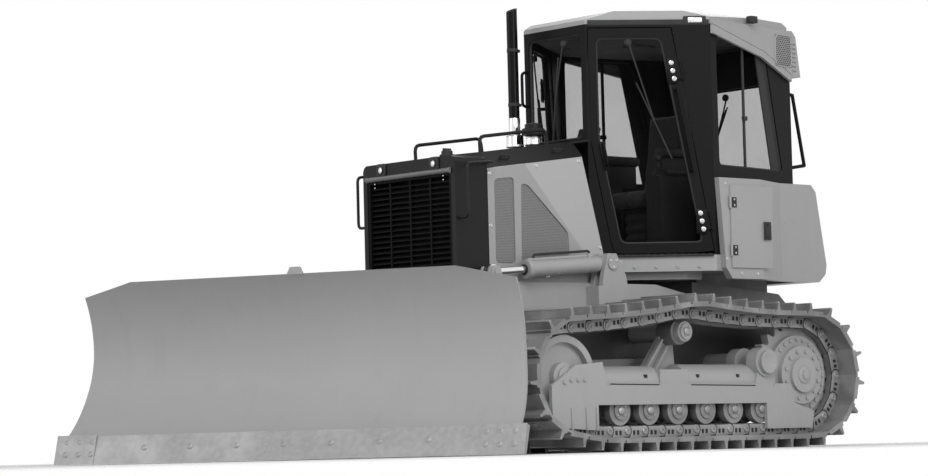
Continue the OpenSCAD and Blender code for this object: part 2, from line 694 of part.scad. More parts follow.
module idler() {
  difference() {
    rod_y(idler_tread, track_len, idler_z, yc - 96, yc + 96);
    for (s = [-1, 1]) {
      translate([0, s * 96, 0]) difference() {
        rod_y(idler_tread - 45, track_len, idler_z, yc - 45, yc + 45);
        rod_y(95, track_len, idler_z, yc - 60, yc + 60);
      }
    }
  }
  rod_y(idler_tread + 20, track_len, idler_z, yc - 40, yc + 40);
  rod_y(62, track_len, idler_z, beam_in + 28, beam_out - 28);
}
module idler_left() {
  color([0.3, 0.3, 0.3]) placed() idler();
}
module idler_right() {
  color([0.3, 0.3, 0.3]) placed(-1) idler();
}

teeth = 25;
function tooth(k) = let (a = 360 / teeth * k, b = 360 / teeth) [
  [(sprocket_r - 34) * cos(a), (sprocket_r - 34) * sin(a)],
  [(sprocket_r + 14) * cos(a + b * 0.3), (sprocket_r + 14) * sin(a + b * 0.3)],
  [(sprocket_r + 14) * cos(a + b * 0.45), (sprocket_r + 14) * sin(a + b * 0.45)],
  [(sprocket_r - 34) * cos(a + b * 0.75), (sprocket_r - 34) * sin(a + b * 0.75)]];
module sprocket() {
  translate([0, 0, axle_z]) {
    slab_y([for (k = [0:teeth - 1]) each tooth(k)], yc - 32, yc + 32);
    rod_y(275, 0, 0, yc - 60, yc + 70);
    rod_y(200, 0, 0, yc + 60, yc + 110);
    rod_y(120, 0, 0, yc + 100, yc + 135);
    rod_y(215, 0, 0, frame_hw, yc - 50);
    for (k = [0:23]) {
      rod_y(12, 245 * cos(k * 15), 245 * sin(k * 15), yc + 65, yc + 82);
    }
    for (k = [0:11]) {
      rod_y(11, 165 * cos(k * 30 + 15), 165 * sin(k * 30 + 15), yc + 100, yc + 124);
    }
  }
}
module sprocket_left() {
  color([0.5, 0.5, 0.5]) placed() sprocket();
}
module sprocket_right() {
  color([0.5, 0.5, 0.5]) placed(-1) sprocket();
}

module angle_ears() {
  for (z = [angle_z - 42, angle_z + 20.3]) {
    box(2780, angle_base[0], angle_base[1] - 45, angle_base[1] + 45, z, z + 21.7);
    rod_z(45, angle_base[0], angle_base[1], z, z + 21.7);
  }
  rod_z(20, angle_base[0], angle_base[1], angle_z - 55, angle_z + 55);
}
module c_frame_nose() {
  color([0.6, 0.6, 0.6]) placed() {
    difference() {
      union() {
        slab_y([[2650, 330], [2670, 310], [2770, 310], [2790, 330], [2790, 570], [2770, 590],
          [2670, 590], [2650, 570]],
          -arm_y - arm_t, arm_y + arm_t);
        translate([0, 0, 335]) linear_extrude(250)
          polygon([[2770, -215], [2770, 215], [pin_x - 130, 120], [pin_x - 130, -120]]);
        for (z = [335, 525]) {
          box(pin_x - 135, pin_x, -nose_r, nose_r, z, z + 60);
          rod_z(nose_r, pin_x, 0, z, z + 60);
        }
      }
      rod_z(40 + fit, pin_x, 0, 300, 620);
    }
    for (s = [0, 1]) mirror([0, s, 0]) angle_ears();
  }
}

module push_arm() {
  difference() {
    union() {
      rod_y(85, trunnion[0], trunnion[1], arm_y, arm_y + arm_t);
      slab_y([[trunnion[0], 475], [trunnion[0], 625], [2300, 600], [2650, 585], [2650, 335],
        [2300, 370]], arm_y, arm_y + arm_t);
      for (y = [arm_y, arm_y + arm_t - 16]) {
        slab_y([[2330, 560], [2395, 1130], [2425, 1225], [2510, 1225], [2545, 1130], [2640, 560]], y, y + 16);
      }
      slab_y([[2330, 560], [2385, 1040], [2575, 1040], [2640, 560]], arm_y, arm_y + arm_t);
    }
    rod_y(44 + fit, trunnion[0], trunnion[1], arm_y - 5, arm_y + arm_t + 5);
  }
  rod_y(40, lift_eye[0], lift_eye[1], arm_y + arm_t - 1, arm_y + arm_t + 14);
  rod_y(20, lift_eye[0], lift_eye[1], arm_y + arm_t - 1, arm_y + arm_t + 22);
}
module push_arm_left() {
  color([0.6, 0.6, 0.6]) placed() push_arm();
}
module push_arm_right() {
  color([0.6, 0.6, 0.6]) placed(-1) push_arm();
}

module yoke() {
  color([0.45, 0.45, 0.45]) placed() translate([pin_x, 0, 0]) rotate([0, 0, blade_angle]) {
    rod_z(85, 0, 0, 395.3, 524.7);
    rod_z(40, 0, 0, 328, 594);
    rod_z(58, 0, 0, 585.3, 606);
    box(0, yoke_bar - 5, -60, 60, 400, 520);
    box(yoke_bar - 70, yoke_bar, -390, 390, 405, 515);
    for (s = [-1, 1]) {
      for (z = [angle_z - ear_gap - 26, angle_z + ear_gap]) {
        box(yoke_eye[0], yoke_bar - 65, s * yoke_eye[1] - 45, s * yoke_eye[1] + 45, z, z + 26);
        rod_z(45, yoke_eye[0], s * yoke_eye[1], z, z + 26);
      }
      rod_z(32, yoke_eye[0], s * yoke_eye[1], angle_z + ear_gap + 25, angle_z + ear_gap + 38);
    }
    rod_x(55, yoke_bar - 10, blade_reach + hub_front, 0, angle_z);
    slab_x([[tilt_base - 45, 405], [tilt_base - 45, tilt_z + 40], [tilt_base + 45, tilt_z + 40],
      [tilt_base + 60, 515], [60, 515], [60, 405]], yoke_bar - 69, yoke_bar - 25);
    rod_x(40, blade_reach + tilt_q + 20.3, yoke_bar - 65, tilt_base, tilt_z);
    rod_x(18, blade_reach + tilt_q - 44, yoke_bar - 65, tilt_base, tilt_z);
    rod_x(32, blade_reach + tilt_q - 44, blade_reach + tilt_q - 22, tilt_base, tilt_z);
  }
}
// curve of the moldboard: the circle through its lower and upper edges
chord = [top_in - edge_in, blade_h - edge_h];
curve_r = (norm(chord) * norm(chord) / 4 + blade_dish * blade_dish) / (2 * blade_dish);
curve_mid = [edge_in, edge_h] + chord / 2 + [chord[1], -chord[0]] / norm(chord) * (curve_r - blade_dish);
function dish(z) = curve_mid[0] - sqrt(curve_r * curve_r - (z - curve_mid[1]) * (z - curve_mid[1]));
function mold_back(z) =
  curve_mid[0] - sqrt(pow(curve_r + blade_t, 2) - (z - curve_mid[1]) * (z - curve_mid[1]));
hub_front = mold_back(angle_z + 80) - 18;
module moldboard() {
  hw = blade_w / 2;
  color([0.55, 0.55, 0.55]) placed() on_blade() intersection() {
    difference() {
      rod_y(curve_r + blade_t, curve_mid[0], curve_mid[1], -hw, hw, $fn = 120);
      rod_y(curve_r, curve_mid[0], curve_mid[1], -hw - 5, hw + 5, $fn = 120);
    }
    slab_x([[-hw + 57, edge_h], [hw - 57, edge_h], [hw - 105, 560], [hw - 115, 700],
      [hw - 120, blade_h - 85], [hw - 500, blade_h],
      [-hw + 500, blade_h], [-hw + 120, blade_h - 85], [-hw + 115, 700], [-hw + 105, 560]], -600, 50);
  }
}
module cutting_edge() {
  hw = blade_w / 2;
  color([0.5, 0.5, 0.5]) placed() on_blade() {
    slab_y([[0, 4], [-34, 4], [edge_in - blade_t, edge_h], [edge_in, edge_h],
      [edge_in + 16, edge_h + 6]], -hw, hw);
    for (s = [-1, 1]) {
      slab_y([[4, 4], [-34, 4], [edge_in - blade_t, edge_h], [edge_in, edge_h], [edge_in + 24, edge_h + 12]],
        min(s * (hw - 290), s * hw), max(s * (hw - 290), s * hw));
    }
  }
}
module blade_back() {
  hw = blade_w / 2;
  color([0.5, 0.5, 0.5]) placed() on_blade() {
    difference() {
      union() {
        for (u = [-1250, -760, -230, 230, 760, 1250]) {
          slab_y([[-90, 230], [-90, 1110], [-225, 1110], [-330, 1060], [-395, 760], [-395, 300],
            [-250, 230]], u - 14, u + 14);
        }
        slab_y([[-90, 235], [-250, 235], [-395, 300], [-395, 420], [-90, 420]], -hw + 160, hw - 160);
        slab_y([[-90, 1085], [-300, 1045], [-360, 980], [-90, 940]], -hw + 160, hw - 160);
        rod_x(112, hub_back, mold_back(angle_z) + 40, 0, angle_z);
        box(hub_back + 15, -330, -244, 244, 360, 560);
        box(tilt_q + ear_gap, -390, tilt_eye - 48, tilt_eye + 48, tilt_z - 48, tilt_z + 74);
        box(tilt_q - 46, tilt_q - ear_gap, tilt_eye - 48, tilt_eye + 48, tilt_z - 48, tilt_z + 74);
        box(tilt_q - 46, -390, tilt_eye - 48, tilt_eye + 48, tilt_z + 50, tilt_z + 74);
        box(-420, -372, 230, 790, tilt_z - 70, tilt_z + 70);
      }
      rod_y(curve_r + blade_t + fit, curve_mid[0], curve_mid[1], -hw, hw, $fn = 120);
      rod_x(55 + fit, hub_back - 5, hub_front + 2, 0, angle_z);
    }
  }
}

module lift_barrel() {
  translate([lift_base[0], lift_y, lift_base[1]]) rotate([0, -lift_tilt, 0]) {
    difference() {
      union() {
        rod_y(50, 0, 0, -24.7, 24.7);
        box(0, 110, -24.7, 24.7, -40, 40);
        rod_x(lift_r, 90, lift_len - 300, 0, 0);
        rod_x(lift_r + 8, lift_len - 350, lift_len - 300, 0, 0);
        rod_x(11, 180, lift_len - 330, 0, lift_r + 6);
      }
      rod_y(28 + fit, 0, 0, -40, 40);
      rod_x(26 + fit, lift_len - 620, lift_len - 280, 0, 0);
    }
  }
}
module lift_rod() {
  translate([lift_base[0], lift_y, lift_base[1]]) rotate([0, -lift_tilt, 0]) {
    rod_x(26, lift_len - 390, lift_len - 40, 0, 0);
    difference() {
      rod_y(48, lift_len, 0, -28.5, 28.5);
      rod_y(20, lift_len, 0, -30, 30);
    }
  }
}
module lift_barrel_left() {
  color([0.3, 0.3, 0.3]) placed() lift_barrel();
}
module lift_barrel_right() {
  color([0.3, 0.3, 0.3]) placed(-1) lift_barrel();
}
module lift_rod_left() {
  color([0.8, 0.8, 0.8]) placed() lift_rod();
}
module lift_rod_right() {
  color([0.8, 0.8, 0.8]) placed(-1) lift_rod();
}

module angle_barrel() {
  difference() {
    union() {
      rod_z(44, 0, 0, -20, 20);
      box(0, 70, -40, 40, -20, 20);
      rod_x(angle_r, 52, len_left - 85, 0, 0);
    }
    rod_z(20 + fit, 0, 0, -30, 30);
    rod_x(25 + fit, 62, len_left, 0, 0);
  }
}
module angle_rod(len) {
  rod_x(25, len - len_left + 66, len - 35, 0, 0);
  difference() {
    rod_z(42, len, 0, -ear_gap + 0.4, ear_gap - 0.4);
    rod_z(18, len, 0, -30, 30);
  }
}
module along_left() {
  translate([angle_base[0], angle_base[1], angle_z])
    rotate([0, 0, atan2(eye_left[1] - angle_base[1], eye_left[0] - angle_base[0])]) children();
}
module along_right() {
  translate([angle_base[0], -angle_base[1], angle_z])
    rotate([0, 0, atan2(eye_right[1] + angle_base[1], eye_right[0] - angle_base[0])]) children();
}
module angle_barrel_left() {
  color([0.3, 0.3, 0.3]) placed() along_left() angle_barrel();
}
module angle_barrel_right() {
  color([0.3, 0.3, 0.3]) placed() along_right() angle_barrel();
}
module angle_rod_left() {
  color([0.8, 0.8, 0.8]) placed() along_left() angle_rod(len_left);
}
module angle_rod_right() {
  color([0.8, 0.8, 0.8]) placed() along_right() angle_rod(len_right);
}

module tilt_barrel() {
  color([0.3, 0.3, 0.3]) placed() on_blade() translate([tilt_q, tilt_base, tilt_z]) rotate([0, 0, 90]) {
    difference() {
      union() {
        rod_y(42, 0, 0, -20, 20);
        box(0, 80, -20, 20, -36, 36);
        rod_x(tilt_r, 60, 540, 0, 0);
      }
      rod_y(18 + fit, 0, 0, -30, 30);
      rod_x(24 + fit, 200, 560, 0, 0);
    }
  }
}
module tilt_rod() {
  color([0.8, 0.8, 0.8]) placed() on_blade() translate([tilt_q, tilt_base, tilt_z]) rotate([0, 0, 90]) {
    rod_x(24, 300, tilt_eye - tilt_base - 18, 0, 0);
    difference() {
      rod_y(34, tilt_eye - tilt_base, 0, -ear_gap + 0.4, ear_gap - 0.4);
      rod_y(14, tilt_eye - tilt_base, 0, -30, 30);
    }
  }
}

main_frame();
rear_case();
engine_block();
radiator_guard();
grille();
hood();
side_shield_left();
side_shield_right();
exhaust_stack();
cab_floor();
cab_frame();
roof();
windscreen();
rear_glass();
side_glass_left();
side_glass_right();
door_left();
door_right();
door_glass_left();
door_glass_right();
seat();
console();
tank();
access_door();
track_left();
track_right();
track_frame_left();
track_frame_right();
roller_bank_left();
roller_bank_right();
idler_left();
idler_right();
sprocket_left();
sprocket_right();
c_frame_nose();
push_arm_left();
push_arm_right();
yoke();
moldboard();
cutting_edge();
blade_back();
lift_barrel_left();
lift_barrel_right();
lift_rod_left();
lift_rod_right();
angle_barrel_left();
angle_barrel_right();
angle_rod_left();
angle_rod_right();
tilt_barrel();
tilt_rod();
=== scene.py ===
import json
import math
import bmesh
import bpy
from mathutils import Matrix, Vector


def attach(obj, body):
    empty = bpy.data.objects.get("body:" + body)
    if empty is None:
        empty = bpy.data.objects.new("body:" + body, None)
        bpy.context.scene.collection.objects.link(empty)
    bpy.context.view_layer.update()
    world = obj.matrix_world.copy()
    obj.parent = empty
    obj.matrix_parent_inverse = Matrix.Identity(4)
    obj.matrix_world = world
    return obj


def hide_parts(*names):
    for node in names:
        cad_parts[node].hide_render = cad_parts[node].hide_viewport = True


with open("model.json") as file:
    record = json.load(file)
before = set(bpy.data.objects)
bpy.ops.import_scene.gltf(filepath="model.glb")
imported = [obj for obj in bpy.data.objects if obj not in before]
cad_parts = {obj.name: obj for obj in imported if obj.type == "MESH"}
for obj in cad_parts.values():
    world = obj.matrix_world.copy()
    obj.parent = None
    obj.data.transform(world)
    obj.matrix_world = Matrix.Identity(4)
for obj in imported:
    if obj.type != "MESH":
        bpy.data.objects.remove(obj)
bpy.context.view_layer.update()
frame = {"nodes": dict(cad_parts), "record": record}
print("frame loaded")

sprocket = Vector((-2.0023085, -0.2311722, 0.0))  # sprocket axle, middle of the machine, on the ground


def spot(x, y, z):
    return Vector((x, y, z)) + sprocket


def standAt(x, y, z):
    return Matrix.Translation(spot(x, y, z))


def shift(x, y, z):
    return Matrix.Translation((x, y, z))


def placeCamera():
    look = {"turn": 48.728, "pitch": 3.945, "roll": -1.44, "lens": 117.16, "at": (15.553, 15.212, 0.06)}
    t = math.radians(look["turn"])
    p = math.radians(look["pitch"])
    r = math.radians(look["roll"])
    flat = Vector((-math.cos(t), -math.sin(t), 0))
    side = Vector((-math.sin(t), math.cos(t), 0))
    up = Vector((0, 0, 1))
    ahead = flat * math.cos(p) + up * math.sin(p)
    top = up * math.cos(p) - flat * math.sin(p)
    right = side * math.cos(r) + top * math.sin(r)
    head = top * math.cos(r) - side * math.sin(r)
    data = bpy.data.cameras.new("camera")
    data.sensor_width = 36
    data.lens = look["lens"]
    data.clip_end = 200
    cam = bpy.data.objects.new("camera", data)
    bpy.context.scene.collection.objects.link(cam)
    turn = Matrix((right, head, -ahead)).transposed().to_4x4()
    cam.matrix_world = standAt(*look["at"]) @ turn
    bpy.context.scene.camera = cam


placeCamera()
print("camera placed")


class Val:  # a socket that can be added to, scaled and divided
    def __init__(self, tree, socket):
        self.tree = tree
        self.socket = socket

    def maths(self, operation, other=None, flip=False):
        node = self.tree.nodes.new("ShaderNodeMath")
        node.operation = operation
        pair = [self] if other is None else [other, self] if flip else [self, other]
        for slot, value in zip(node.inputs, pair):
            if isinstance(value, Val):
                self.tree.links.new(value.socket, slot)
            else:
                slot.default_value = value
        return Val(self.tree, node.outputs[0])

    def __add__(self, other):
        return self.maths("ADD", other)

    def __radd__(self, other):
        return self.maths("ADD", other, True)

    def __sub__(self, other):
        return self.maths("SUBTRACT", other)

    def __rsub__(self, other):
        return self.maths("SUBTRACT", other, True)

    def __mul__(self, other):
        return self.maths("MULTIPLY", other)

    def __rmul__(self, other):
        return self.maths("MULTIPLY", other, True)

    def __truediv__(self, other):
        return self.maths("DIVIDE", other)

    def __abs__(self):
        return self.maths("ABSOLUTE")


class Finish:  # one procedural material
    def __init__(self, name):
        self.mat = bpy.data.materials.new(name)
        self.mat.use_nodes = True
        self.tree = self.mat.node_tree
        self.bsdf = self.tree.nodes["Principled BSDF"]
        self.place = self.node("ShaderNodeTexCoord", out="Object")
        xyz = self.node("ShaderNodeSeparateXYZ", None, {0: self.place}).socket.node
        self.x, self.y, self.z = (Val(self.tree, s) for s in xyz.outputs)

    def node(self, kind, settings=None, holeShades=None, out=0):
        made = self.tree.nodes.new(kind)
        for key, value in (settings or {}).items():
            setattr(made, key, value)
        for key, value in (holeShades or {}).items():
            if isinstance(value, Val):
                self.tree.links.new(value.socket, made.inputs[key])
            else:
                made.inputs[key].default_value = value
        return Val(self.tree, made.outputs[out])

    def noise(self, scale, detail=3.0, stretch=None):
        where = self.place
        if stretch:
            where = self.node("ShaderNodeMapping", None, {"Vector": where, "Scale": stretch})
        return self.node("ShaderNodeTexNoise", None, {"Vector": where, "Scale": scale, "Detail": detail})

    def ease(self, value, low, high):  # 0 at low to 1 at high
        spread = {"Value": value, 1: low, 2: high}
        return self.node("ShaderNodeMapRange", {"interpolation_type": "SMOOTHSTEP"}, spread)

    def blend(self, share, first, second):
        first, second = (self.grey(c) if isinstance(c, float) else c for c in (first, second))
        return self.node("ShaderNodeMix", {"data_type": "RGBA"}, {0: share, 6: first, 7: second}, 2)

    def grey(self, level):
        return (level, level, level, 1)

    def bump(self, height, distance, strength=0.5):
        holeShades = {"Height": height, "Distance": distance, "Strength": strength}
        self.set({"Normal": self.node("ShaderNodeBump", None, holeShades)})

    def set(self, holeShades):
        for key, value in holeShades.items():
            if isinstance(value, Val):
                self.tree.links.new(value.socket, self.bsdf.inputs[key])
            else:
                self.bsdf.inputs[key].default_value = value
        return self.mat


def satinPaint(name, tone):
    look = Finish(name)
    cloud = look.noise(1.3, 4)
    grain = look.noise(420, 2)
    streak = look.noise(9, 4, (1, 1, 0.12))
    dust = look.ease(look.z, tone.get("dustTop", 0.9), 0.05) * look.ease(look.noise(5, 5), 0.4, 0.75)
    scuff = look.ease(look.noise(38, 6), 0.68, 0.74) * look.ease(look.noise(2.2, 2), 0.5, 0.62)
    base = look.blend(cloud, tone["grey"] * 0.94, tone["grey"] * 1.05)
    base = look.blend(look.ease(streak, 0.5, 0.8) * 0.16, base, look.grey(tone["grey"] * 0.78))
    if "stripe" in tone:
        base = look.blend(tone["stripe"](look), base, look.grey(tone["stripeGrey"]))
    if "shade" in tone:  # painted shade: the paint darkened low down between the tracks, where the frame lies in shadow
        base = look.blend(look.ease(look.z, tone["shade"] + 0.12, tone["shade"]), base,
            look.grey(tone["grey"] * 0.16))
    base = look.blend(dust * tone.get("dust", 0.35), base, look.grey(0.33))
    base = look.blend(scuff * tone.get("scuff", 0.3), base, look.grey(tone["grey"] * 0.55))
    look.set({"Base Color": base, "Roughness": tone["rough"] + 0.12 * grain + 0.25 * dust})
    look.set({"Coat Weight": tone.get("coat", 0.1), "Coat Roughness": 0.15,
        "Specular IOR Level": tone.get("gloss", 0.35)})
    look.bump(grain + 0.4 * look.noise(90, 2), 0.0006, 0.35)
    return look.mat


def bareSteel(name, tone):
    look = Finish(name)
    scratch = look.noise(30, 6, tone.get("along", (0.15, 1, 1)))
    pits = look.noise(160, 4)
    rub = look.ease(look.noise(3.2, 3), 0.42, 0.66)
    base = look.blend(scratch, tone["grey"] * 0.75, tone["grey"] * 1.2)
    base = look.blend(rub * tone.get("rub", 0.4), base, look.grey(tone.get("rubGrey", 0.4)))
    look.set({"Base Color": base, "Roughness": tone["rough"] + 0.22 * pits - 0.12 * rub})
    look.set({"Metallic": tone["metal"] + 0.2 * rub})
    look.bump(scratch + 0.7 * pits, 0.0012, 0.5)
    return look.mat


def chainSteel(name, tone):  # shoes worn lighter in patches
    look = Finish(name)
    pits = look.noise(170, 4)
    rub = look.ease(look.noise(4, 4), 0.4, 0.66)
    base = look.blend(rub, tone["grey"] * 0.8, tone["grey"] * 1.25)
    look.set({"Base Color": base, "Roughness": 0.42 + 0.2 * pits, "Metallic": tone["metal"]})
    look.bump(pits + 0.6 * look.noise(30, 5, (1, 0.2, 1)), 0.0012, 0.5)
    return look.mat


def castIron(name, tone):
    look = Finish(name)
    lumps = look.noise(220, 5)
    soil = look.ease(look.noise(4, 5), 0.42, 0.7)
    base = look.blend(soil, tone["grey"] * 0.8, tone["grey"] * 1.2)
    look.set({"Base Color": base, "Roughness": 0.5 + 0.25 * lumps, "Metallic": 0.25})
    look.bump(lumps, 0.0014, 0.6)
    return look.mat


def chromeBar(name, grey):
    look = Finish(name)
    rings = look.noise(60, 2)
    haze = look.ease(look.noise(7, 3), 0.45, 0.75)
    look.set({"Base Color": look.blend(haze, grey, grey * 0.82), "Metallic": 1.0})
    look.set({"Roughness": 0.07 + 0.16 * haze + 0.04 * rings})
    look.bump(rings, 0.0002, 0.2)
    return look.mat


def windowGlass(name, tint):
    look = Finish(name)
    film = look.ease(look.noise(2.4, 4), 0.4, 0.8)
    look.set({"Base Color": look.blend(film, tint["grey"], tint["grey"] * 1.6)})
    look.set({"Alpha": tint["alpha"] + 0.03 * film, "Roughness": 0.02 + 0.05 * film,
        "Specular IOR Level": 0.0})
    look.mat.surface_render_method = "BLENDED"
    return look.mat


def mouldedPlastic(name, tone):
    look = Finish(name)
    pebble = look.node("ShaderNodeTexVoronoi", {"feature": "SMOOTH_F1"},
        {"Vector": look.place, "Scale": 520.0})
    wear = look.ease(look.noise(6, 4), 0.45, 0.8)
    look.set({"Base Color": look.blend(wear, tone["grey"], tone["grey"] * 1.5)})
    look.set({"Roughness": tone["rough"] + 0.12 * wear})
    look.bump(pebble, 0.0005, 0.4)
    return look.mat


def wovenCloth(name, tone):
    look = Finish(name)
    warp = look.node("ShaderNodeTexWave", {"bands_direction": "X"},
        {"Vector": look.place, "Scale": 130.0, "Distortion": 0.4})
    weft = look.node("ShaderNodeTexWave", {"bands_direction": "Y"},
        {"Vector": look.place, "Scale": 130.0, "Distortion": 0.4})
    weave = warp * weft
    look.set({"Base Color": look.blend(weave, tone["grey"] * 0.7, tone["grey"] * 1.5),
        "Roughness": 0.85 + 0.1 * weave})
    look.set({"Sheen Weight": 0.3})
    look.bump(weave, 0.0008, 0.5)
    return look.mat


def punchedSheet(name, tone):  # sheet with rows of small holes or slots
    look = Finish(name)
    pitch = tone["pitch"]
    rows = tone.get("rows", pitch * 0.866)
    row = (look.z / rows).maths("FLOOR")
    step = (look.x / pitch + 0.5 * row.maths("FLOORED_MODULO", 2.0)).maths("FRACT") - 0.5
    lift = (look.z / rows).maths("FRACT") - 0.5
    if "rows" in tone:  # slots
        far = abs(step).maths("MAXIMUM", 1.1 * abs(lift))
    else:
        far = (step * step + 0.75 * lift * lift).maths("SQRT")
    hole = look.ease(far, 0.4, 0.33)
    base = look.blend(hole, tone["grey"], tone["hole"])
    base = look.blend(look.noise(2, 4) * 0.3, base, look.grey(tone["grey"] * 0.8))
    look.set({"Base Color": base, "Roughness": 0.45 + 0.3 * hole})
    look.bump(1 - hole, 0.002, 0.6)
    return look.mat


def lampGlass(name):
    look = Finish(name)
    flute = look.node("ShaderNodeTexWave", {"bands_direction": "Y"}, {"Vector": look.place, "Scale": 30.0})
    look.set({"Base Color": look.blend(flute, 0.62, 0.9), "Roughness": 0.08 + 0.1 * flute,
        "Metallic": 0.35})
    look.set({"Coat Weight": 0.8})
    look.bump(flute, 0.001, 0.4)
    return look.mat


def diagonal(look):  # lighter field on the rear of each side panel
    return look.ease(look.x - 0.088 - 0.908 * (look.z - 1.95), 0.006, -0.006)


finishes = {
    "body_grey": satinPaint("bodyGrey", {"grey": 0.36, "rough": 0.36, "dust": 0.3}),
    "blade_grey": satinPaint("bladeGrey",
        {"grey": 0.33, "rough": 0.42, "dust": 0.15, "dustTop": 0.4, "scuff": 0.15}),
    "wear_steel": bareSteel("wearSteel",
        {"grey": 0.3, "rough": 0.42, "metal": 0.35, "rub": 0.2, "rubGrey": 0.4}),
    "track_steel": chainSteel("trackSteel", {"grey": 0.24, "metal": 0.35}),
    "dark_paint": satinPaint("darkPaint",
        {"grey": 0.014, "rough": 0.3, "dust": 0.1, "coat": 0.05, "gloss": 0.12, "scuff": 0.1}),
    "cab_black": satinPaint("cabBlack",
        {"grey": 0.005, "rough": 0.36, "dust": 0.1, "coat": 0.02, "gloss": 0.08, "scuff": 0.1}),
    "glass": windowGlass("windowGlass", {"grey": 0.006, "alpha": 0.2}),
    "trim": mouldedPlastic("trimPlastic", {"grey": 0.012, "rough": 0.55}),
    "casting": castIron("ironCasting", {"grey": 0.2}),
    "cylinder_grey": satinPaint("cylinderGrey", {"grey": 0.36, "rough": 0.34, "dust": 0.1}),
    "rod_chrome": chromeBar("rodChrome", 0.75),
}
extra = {
    "panel": satinPaint("panelGrey", {"grey": 0.34, "rough": 0.36, "stripe": diagonal, "stripeGrey": 0.42,
        "dust": 0.1}),
    "mesh": punchedSheet("meshSheet", {"grey": 0.25, "hole": 0.1, "pitch": 0.012}),
    "vent": punchedSheet("ventSheet", {"grey": 0.34, "hole": 0.006, "pitch": 0.029, "rows": 0.0138}),
    "lamp": lampGlass("lampGlass"),
    "bar": satinPaint("barGrey", {"grey": 0.16, "rough": 0.3, "dust": 0.0}),
    "zinc": chromeBar("zincBolt", 0.6),
    "rubber": mouldedPlastic("blackRubber", {"grey": 0.012, "rough": 0.7}),
    "cloth": wovenCloth("seatCloth", {"grey": 0.02}),
    "link": bareSteel("linkSteel", {"grey": 0.3, "rough": 0.4, "metal": 0.4, "rubGrey": 0.45}),
    "louvre": satinPaint("louvreBlack",
        {"grey": 0.006, "rough": 0.4, "dust": 0.0, "coat": 0.0, "gloss": 0.05, "scuff": 0.0}),
    "stack": satinPaint("stackBlack", {"grey": 0.005, "rough": 0.05, "dust": 0.0, "coat": 0.0, "gloss": 0.1,
        "scuff": 0.0}),
    "liner": mouldedPlastic("roofLiner", {"grey": 0.14, "rough": 0.8}),
    "roller": castIron("rollerIron", {"grey": 0.3}),
    "idler": satinPaint("idlerGrey", {"grey": 0.39, "rough": 0.4, "dust": 0.2, "scuff": 0.5}),
    # main frame paint with painted shade below 0.86 m, between the tracks
    "inner": satinPaint("innerGrey", {"grey": 0.36, "rough": 0.4, "shade": 0.86}),
    "worn": bareSteel("wornTip", {"grey": 0.3, "rough": 0.35, "metal": 0.6, "along": (1, 0.1, 1),
        "rubGrey": 0.5}),
}
special = {"side_shield": "panel", "idler": "idler", "roller_bank": "roller", "main": "inner",
    "grille": "louvre", "exhaust": "stack"}
for part in frame["record"]["subparts"]:
    node = frame["nodes"][part["node"]]
    look = finishes[part["material_slot"]]
    look = extra.get(special.get(part["node"].rsplit("_", 1)[0]), look)
    node.data.materials.clear()
    node.data.materials.append(look)
print("finishes made")


def clearPick():
    if bpy.context.object and bpy.context.object.mode != "OBJECT":
        bpy.ops.object.mode_set(mode="OBJECT")
    bpy.ops.object.select_all(action="DESELECT")


def takeUp(piece):
    clearPick()
    piece.select_set(True)
    bpy.context.view_layer.objects.active = piece
    return piece


def pickFaces(piece, test):  # edit mode with the faces that pass
    takeUp(piece)
    bpy.ops.object.mode_set(mode="EDIT")
    bpy.ops.mesh.select_mode(type="FACE")
    shape = bmesh.from_edit_mesh(piece.data)
    for face in shape.faces:
        face.select_set(test(face.calc_center_median(), face.normal))
    bmesh.update_edit_mesh(piece.data)


def putDown(piece):
    bpy.ops.object.mode_set(mode="OBJECT")
    return piece


def modify(piece, kind, settings):
    takeUp(piece)
    added = piece.modifiers.new(kind.lower(), kind)
    for key, value in settings.items():
        setattr(added, key, value)
    bpy.ops.object.modifier_apply(modifier=added.name)
    return piece


def softenEdges(piece, width, steps=2):
    return modify(piece, "BEVEL", {"width": width, "segments": steps, "limit_method": "ANGLE",
        "angle_limit": 0.6})


def settle(piece):
    takeUp(piece)
    bpy.ops.object.transform_apply(location=True, rotation=True, scale=True)
    return piece


def setAt(piece, place):
    piece.matrix_world = place @ piece.matrix_world
    return settle(piece)


def block(size, edge=0.004):  # box with eased edges, centred
    clearPick()
    bpy.ops.mesh.primitive_cube_add(size=1)
    piece = bpy.context.object
    piece.scale = size
    settle(piece)
    return softenEdges(piece, edge) if edge else piece


def turnedShape(steps, sides=24):  # round shape along z from (radius, height) steps
    clearPick()
    bpy.ops.mesh.primitive_circle_add(vertices=sides, radius=steps[0][0], fill_type="NGON",
        location=(0, 0, steps[0][1]))
    piece = settle(bpy.context.object)
    bpy.ops.object.mode_set(mode="EDIT")
    bpy.ops.mesh.select_all(action="SELECT")
    for (r0, z0), (r1, z1) in zip(steps, steps[1:]):
        bpy.ops.mesh.extrude_region_move(TRANSFORM_OT_translate={"value": (0, 0, z1 - z0)})
        if r1 != r0:
            bpy.ops.transform.resize(value=(r1 / r0, r1 / r0, 1))
    bpy.ops.mesh.select_all(action="SELECT")
    bpy.ops.mesh.normals_make_consistent(inside=False)
    return putDown(piece)


def ringShape(steps, sides=28):  # hollow ring about z, the steps run round its section
    clearPick()
    bpy.ops.mesh.primitive_circle_add(vertices=sides, radius=steps[0][0], location=(0, 0, steps[0][1]))
    piece = settle(bpy.context.object)
    bpy.ops.object.mode_set(mode="EDIT")
    bpy.ops.mesh.select_mode(type="EDGE")
    bpy.ops.mesh.select_all(action="SELECT")
    for (r0, z0), (r1, z1) in zip(steps, steps[1:] + steps[:1]):
        bpy.ops.mesh.extrude_region_move(TRANSFORM_OT_translate={"value": (0, 0, z1 - z0)})
        bpy.ops.transform.resize(value=(r1 / r0, r1 / r0, 1))
    bpy.ops.mesh.select_all(action="SELECT")
    bpy.ops.mesh.remove_doubles(threshold=0.00002)
    bpy.ops.mesh.normals_make_consistent(inside=False)
    bpy.ops.mesh.select_mode(type="FACE")
    return putDown(piece)


